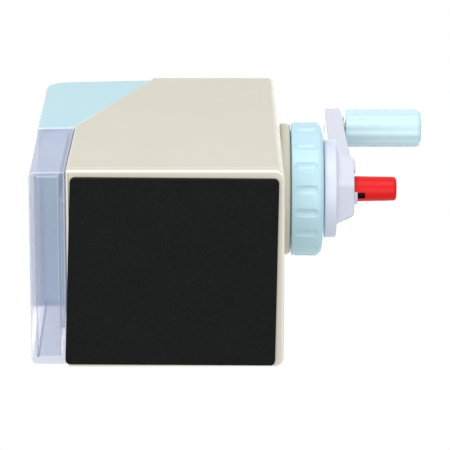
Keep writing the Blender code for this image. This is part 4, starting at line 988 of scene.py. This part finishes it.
ring = turned("index_ring", [
    (HUB_END - 1 * MM, INDEX_INNER), (INDEX_TOP, INDEX_INNER), (INDEX_TOP, INDEX_OUTER),
    (HUB_END - 1 * MM, INDEX_OUTER)], 96)
edit(ring)
bpy.ops.mesh.select_all(action="SELECT")
bpy.ops.mesh.bisect(plane_co=(0, 0, AXIS), plane_no=(0, cos(radians(10)), -sin(radians(10))),
                    use_fill=True, clear_inner=True)
done()
combine(crank, ring, "UNION")
dot = primitive("cylinder", "dot", vertices=48, radius=DOT_RADIUS, depth=2.2 * MM,
                rotation=(0, pi / 2, 0), location=(HUB_END - 0.5 * MM, *DOT_PLACE))
combine(crank, dot, "UNION")
bores = turned("bores", [
    (SHAFT_START - 1 * MM, 0), (SHAFT_START - 1 * MM, STOP_BORE), (SPRING_BORE_START, STOP_BORE),
    (SPRING_BORE_START, SPRING_BORE), (KNOB_BORE_START, SPRING_BORE),
    (KNOB_BORE_START, KNOB_BORE), (HUB_END + 3 * MM, KNOB_BORE), (HUB_END + 3 * MM, 0)],
    96, closed=False)
combine(crank, bores, "DIFFERENCE")
pin_bore = primitive("cylinder", "pin_bore", vertices=48, radius=PIN_BORE, depth=40 * MM,
                     rotation=(0, pi / 2, 0), location=(HUB_FACE, 0, AXIS + CRANK_RADIUS))
combine(crank, pin_bore, "DIFFERENCE")
soften(crank, 0.22 * MM, 2, 35)
turn(crank, ARM_TILT, AXIS)
place_piece(crank, "crank", "white_plastic", ["crank"], white_plastic)

# %% [markdown]
# ## Grip
#
# The grip is a milky tube with twelve shallow hollows along its length, which give it bands of
# light and shade. A cylinder with many sides is made, and the rows of vertices between the
# ridges are drawn in a little. Its far end is rounded.

# %% Grip
GRIP_START = 57.8 * MM
GRIP_END = 84.5 * MM
GRIP_RADIUS = 6.75 * MM
GRIP_HOLLOWS = 12
HOLLOW_DEPTH = 0.28 * MM
GRIP_STEPS = GRIP_HOLLOWS * 10
GRIP_BORE = 2.4 * MM
PIN_ROOM = 3.0 * MM         # a wider room for the pin's head
PIN_ROOM_START = 78.1 * MM
PIN_ROOM_END = 80.4 * MM
OUTSIDE = 4.0 * MM          # every point further from the centre lies on the outside
grip_centre = (0, AXIS + CRANK_RADIUS)

grip = turned("turning_grip", [
    (GRIP_START, GRIP_BORE), (GRIP_START, GRIP_RADIUS), (GRIP_END, GRIP_RADIUS), (GRIP_END, 0),
    (PIN_ROOM_END, 0), (PIN_ROOM_END, PIN_ROOM), (PIN_ROOM_START, PIN_ROOM),
    (PIN_ROOM_START, GRIP_BORE)], GRIP_STEPS, grip_centre)
edit(grip)
for index in range(GRIP_STEPS):
    angle = tau * index / GRIP_STEPS
    depth = HOLLOW_DEPTH * (1 - cos(GRIP_HOLLOWS * angle)) / 2
    if depth < 0.001 * MM:
        continue
    pick("VERT", lambda v: hypot(v.co.y, v.co.z - grip_centre[1]) > OUTSIDE and abs(
        (atan2(v.co.y, v.co.z - grip_centre[1]) - angle + pi) % tau - pi) < 0.01)
    bpy.ops.transform.translate(value=(0, -depth * sin(angle), -depth * cos(angle)))
round_off(lambda e: all(abs(v.co.x - GRIP_END) < 0.02 * MM
                        and hypot(v.co.y, v.co.z - grip_centre[1]) > OUTSIDE for v in e.verts),
          1.9 * MM, 7)
round_off(lambda e: all(abs(v.co.x - GRIP_START) < 0.02 * MM
                        and hypot(v.co.y, v.co.z - grip_centre[1]) > OUTSIDE for v in e.verts),
          0.5 * MM, 3)
done()
turn(grip, ARM_TILT, AXIS)
place_piece(grip, "grip", "ice_translucent", ["grip"], grip_plastic, angle=40)

# %% [markdown]
# ## Adjuster knob and pencil hole
#
# The red knob is a plain bar with a soft end. A notch at its root shows how far it is turned,
# and the inside of the notch is painted near black, a painted shade for the deep shadow in it.
# The ring round the pencil hole is turned with rounded lips.

# %% Adjuster knob
KNOB_START = 54.6 * MM
KNOB_END = 73.7 * MM
KNOB_RADIUS = 4.3 * MM
KNOB_TIP_RADIUS = KNOB_RADIUS * 0.94
NOTCH_START = HUB_END + 0.4 * MM
NOTCH_END = HUB_END + 3.8 * MM
NOTCH_HALF = 1.2 * MM
NOTCH_FLOOR = 2.4 * MM      # from the knob's axis
NOTCH_TURN = radians(10)

knob = turned("point_knob", [(KNOB_START, 0), (KNOB_START, KNOB_RADIUS), (HUB_END, KNOB_RADIUS),
                             (KNOB_END, KNOB_TIP_RADIUS), (KNOB_END, 0)], 96, closed=False)
edit(knob)
round_off(circle_at(KNOB_END, KNOB_TIP_RADIUS), 1.2 * MM, 6)
done()
notch = box("notch", (NOTCH_START, -NOTCH_HALF, AXIS - KNOB_RADIUS - 1.7 * MM),
            (NOTCH_END, NOTCH_HALF, AXIS - NOTCH_FLOOR))
turn(notch, NOTCH_TURN, AXIS)
combine(knob, notch, "DIFFERENCE")
stop_hole = primitive("cylinder", "stop_hole", vertices=32, radius=STOP_BORE, depth=7.4 * MM,
                      rotation=(0, pi / 2, 0), location=(KNOB_START, 0, AXIS))
combine(knob, stop_hole, "DIFFERENCE")
soften(knob, 0.15 * MM, 2)
turn(knob, ARM_TILT, AXIS)
place_piece(knob, "knob", "red_plastic", ["adjuster_knob"], red_plastic, notch_painted_shade)
# The notch's inner faces get the near-black finish: painted shade.
for face in knob.data.polygons:
    middle = face.center
    away = hypot(middle.y, middle.z - AXIS)
    beside = NOTCH_START - 0.05 * MM < middle.x < NOTCH_END + 0.05 * MM
    face.material_index = 1 if beside and away < KNOB_RADIUS - 0.25 * MM else 0

# %% Ring round the pencil hole
BEZEL_BACK = -45.87 * MM
BEZEL_FRONT = -46.87 * MM
BEZEL_RADIUS = 9.0 * MM
PENCIL_RADIUS = 4.4 * MM

bezel = turned("pencil_hole_ring", [
    (BEZEL_BACK, PENCIL_RADIUS), (BEZEL_FRONT, PENCIL_RADIUS), (BEZEL_FRONT, BEZEL_RADIUS),
    (BEZEL_BACK, BEZEL_RADIUS)], 96)
edit(bezel)
round_off(circle_at(BEZEL_FRONT, PENCIL_RADIUS), 0.45 * MM, 4)
round_off(circle_at(BEZEL_FRONT, BEZEL_RADIUS), 0.6 * MM, 4)
done()
place_piece(bezel, "body", "white_plastic", ["entry_bezel"], white_plastic)

# %% [markdown]
# ## Pieces from the measured model
#
# The cutter, its gears, the screws and the small steel pieces already have their true shape, so
# they stay and only get a better finish.

# %% Finishes for the measured pieces
KEPT = {
    "pencil_guide": plated_steel, "carrier": die_cast, "cutter": ground_steel,
    "cutter_pinion": ground_steel, "cutter_shaft": plated_steel, "shaft_clip": plated_steel,
    "ring_gear": nylon, "grip_pin": plated_steel, "pin_washer": plated_steel,
    "tip_stop": plated_steel, "adjuster_spring": plated_steel, "crank_screw_1": plated_steel,
    "crank_screw_2": plated_steel, "base_screw_1": upright_steel, "base_screw_2": upright_steel,
    "base_screw_3": upright_steel, "base_screw_4": upright_steel, "head_screw_1": upright_steel,
    "head_screw_2": upright_steel,
}
for node, paint in KEPT.items():
    for index in range(len(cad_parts[node].material_slots)):
        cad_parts[node].material_slots[index].material = paint
print(len(KEPT), "measured pieces painted")

# %% [markdown]
# ## Size and end
#
# The finished object is measured again and both boxes are printed.

# %% Size and end
finished = [list(corner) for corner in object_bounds()]
for name, corners in (("measured", measured), ("finished", finished)):
    print(name, [[round(c / MM, 1) for c in corner] for corner in corners], "mm")
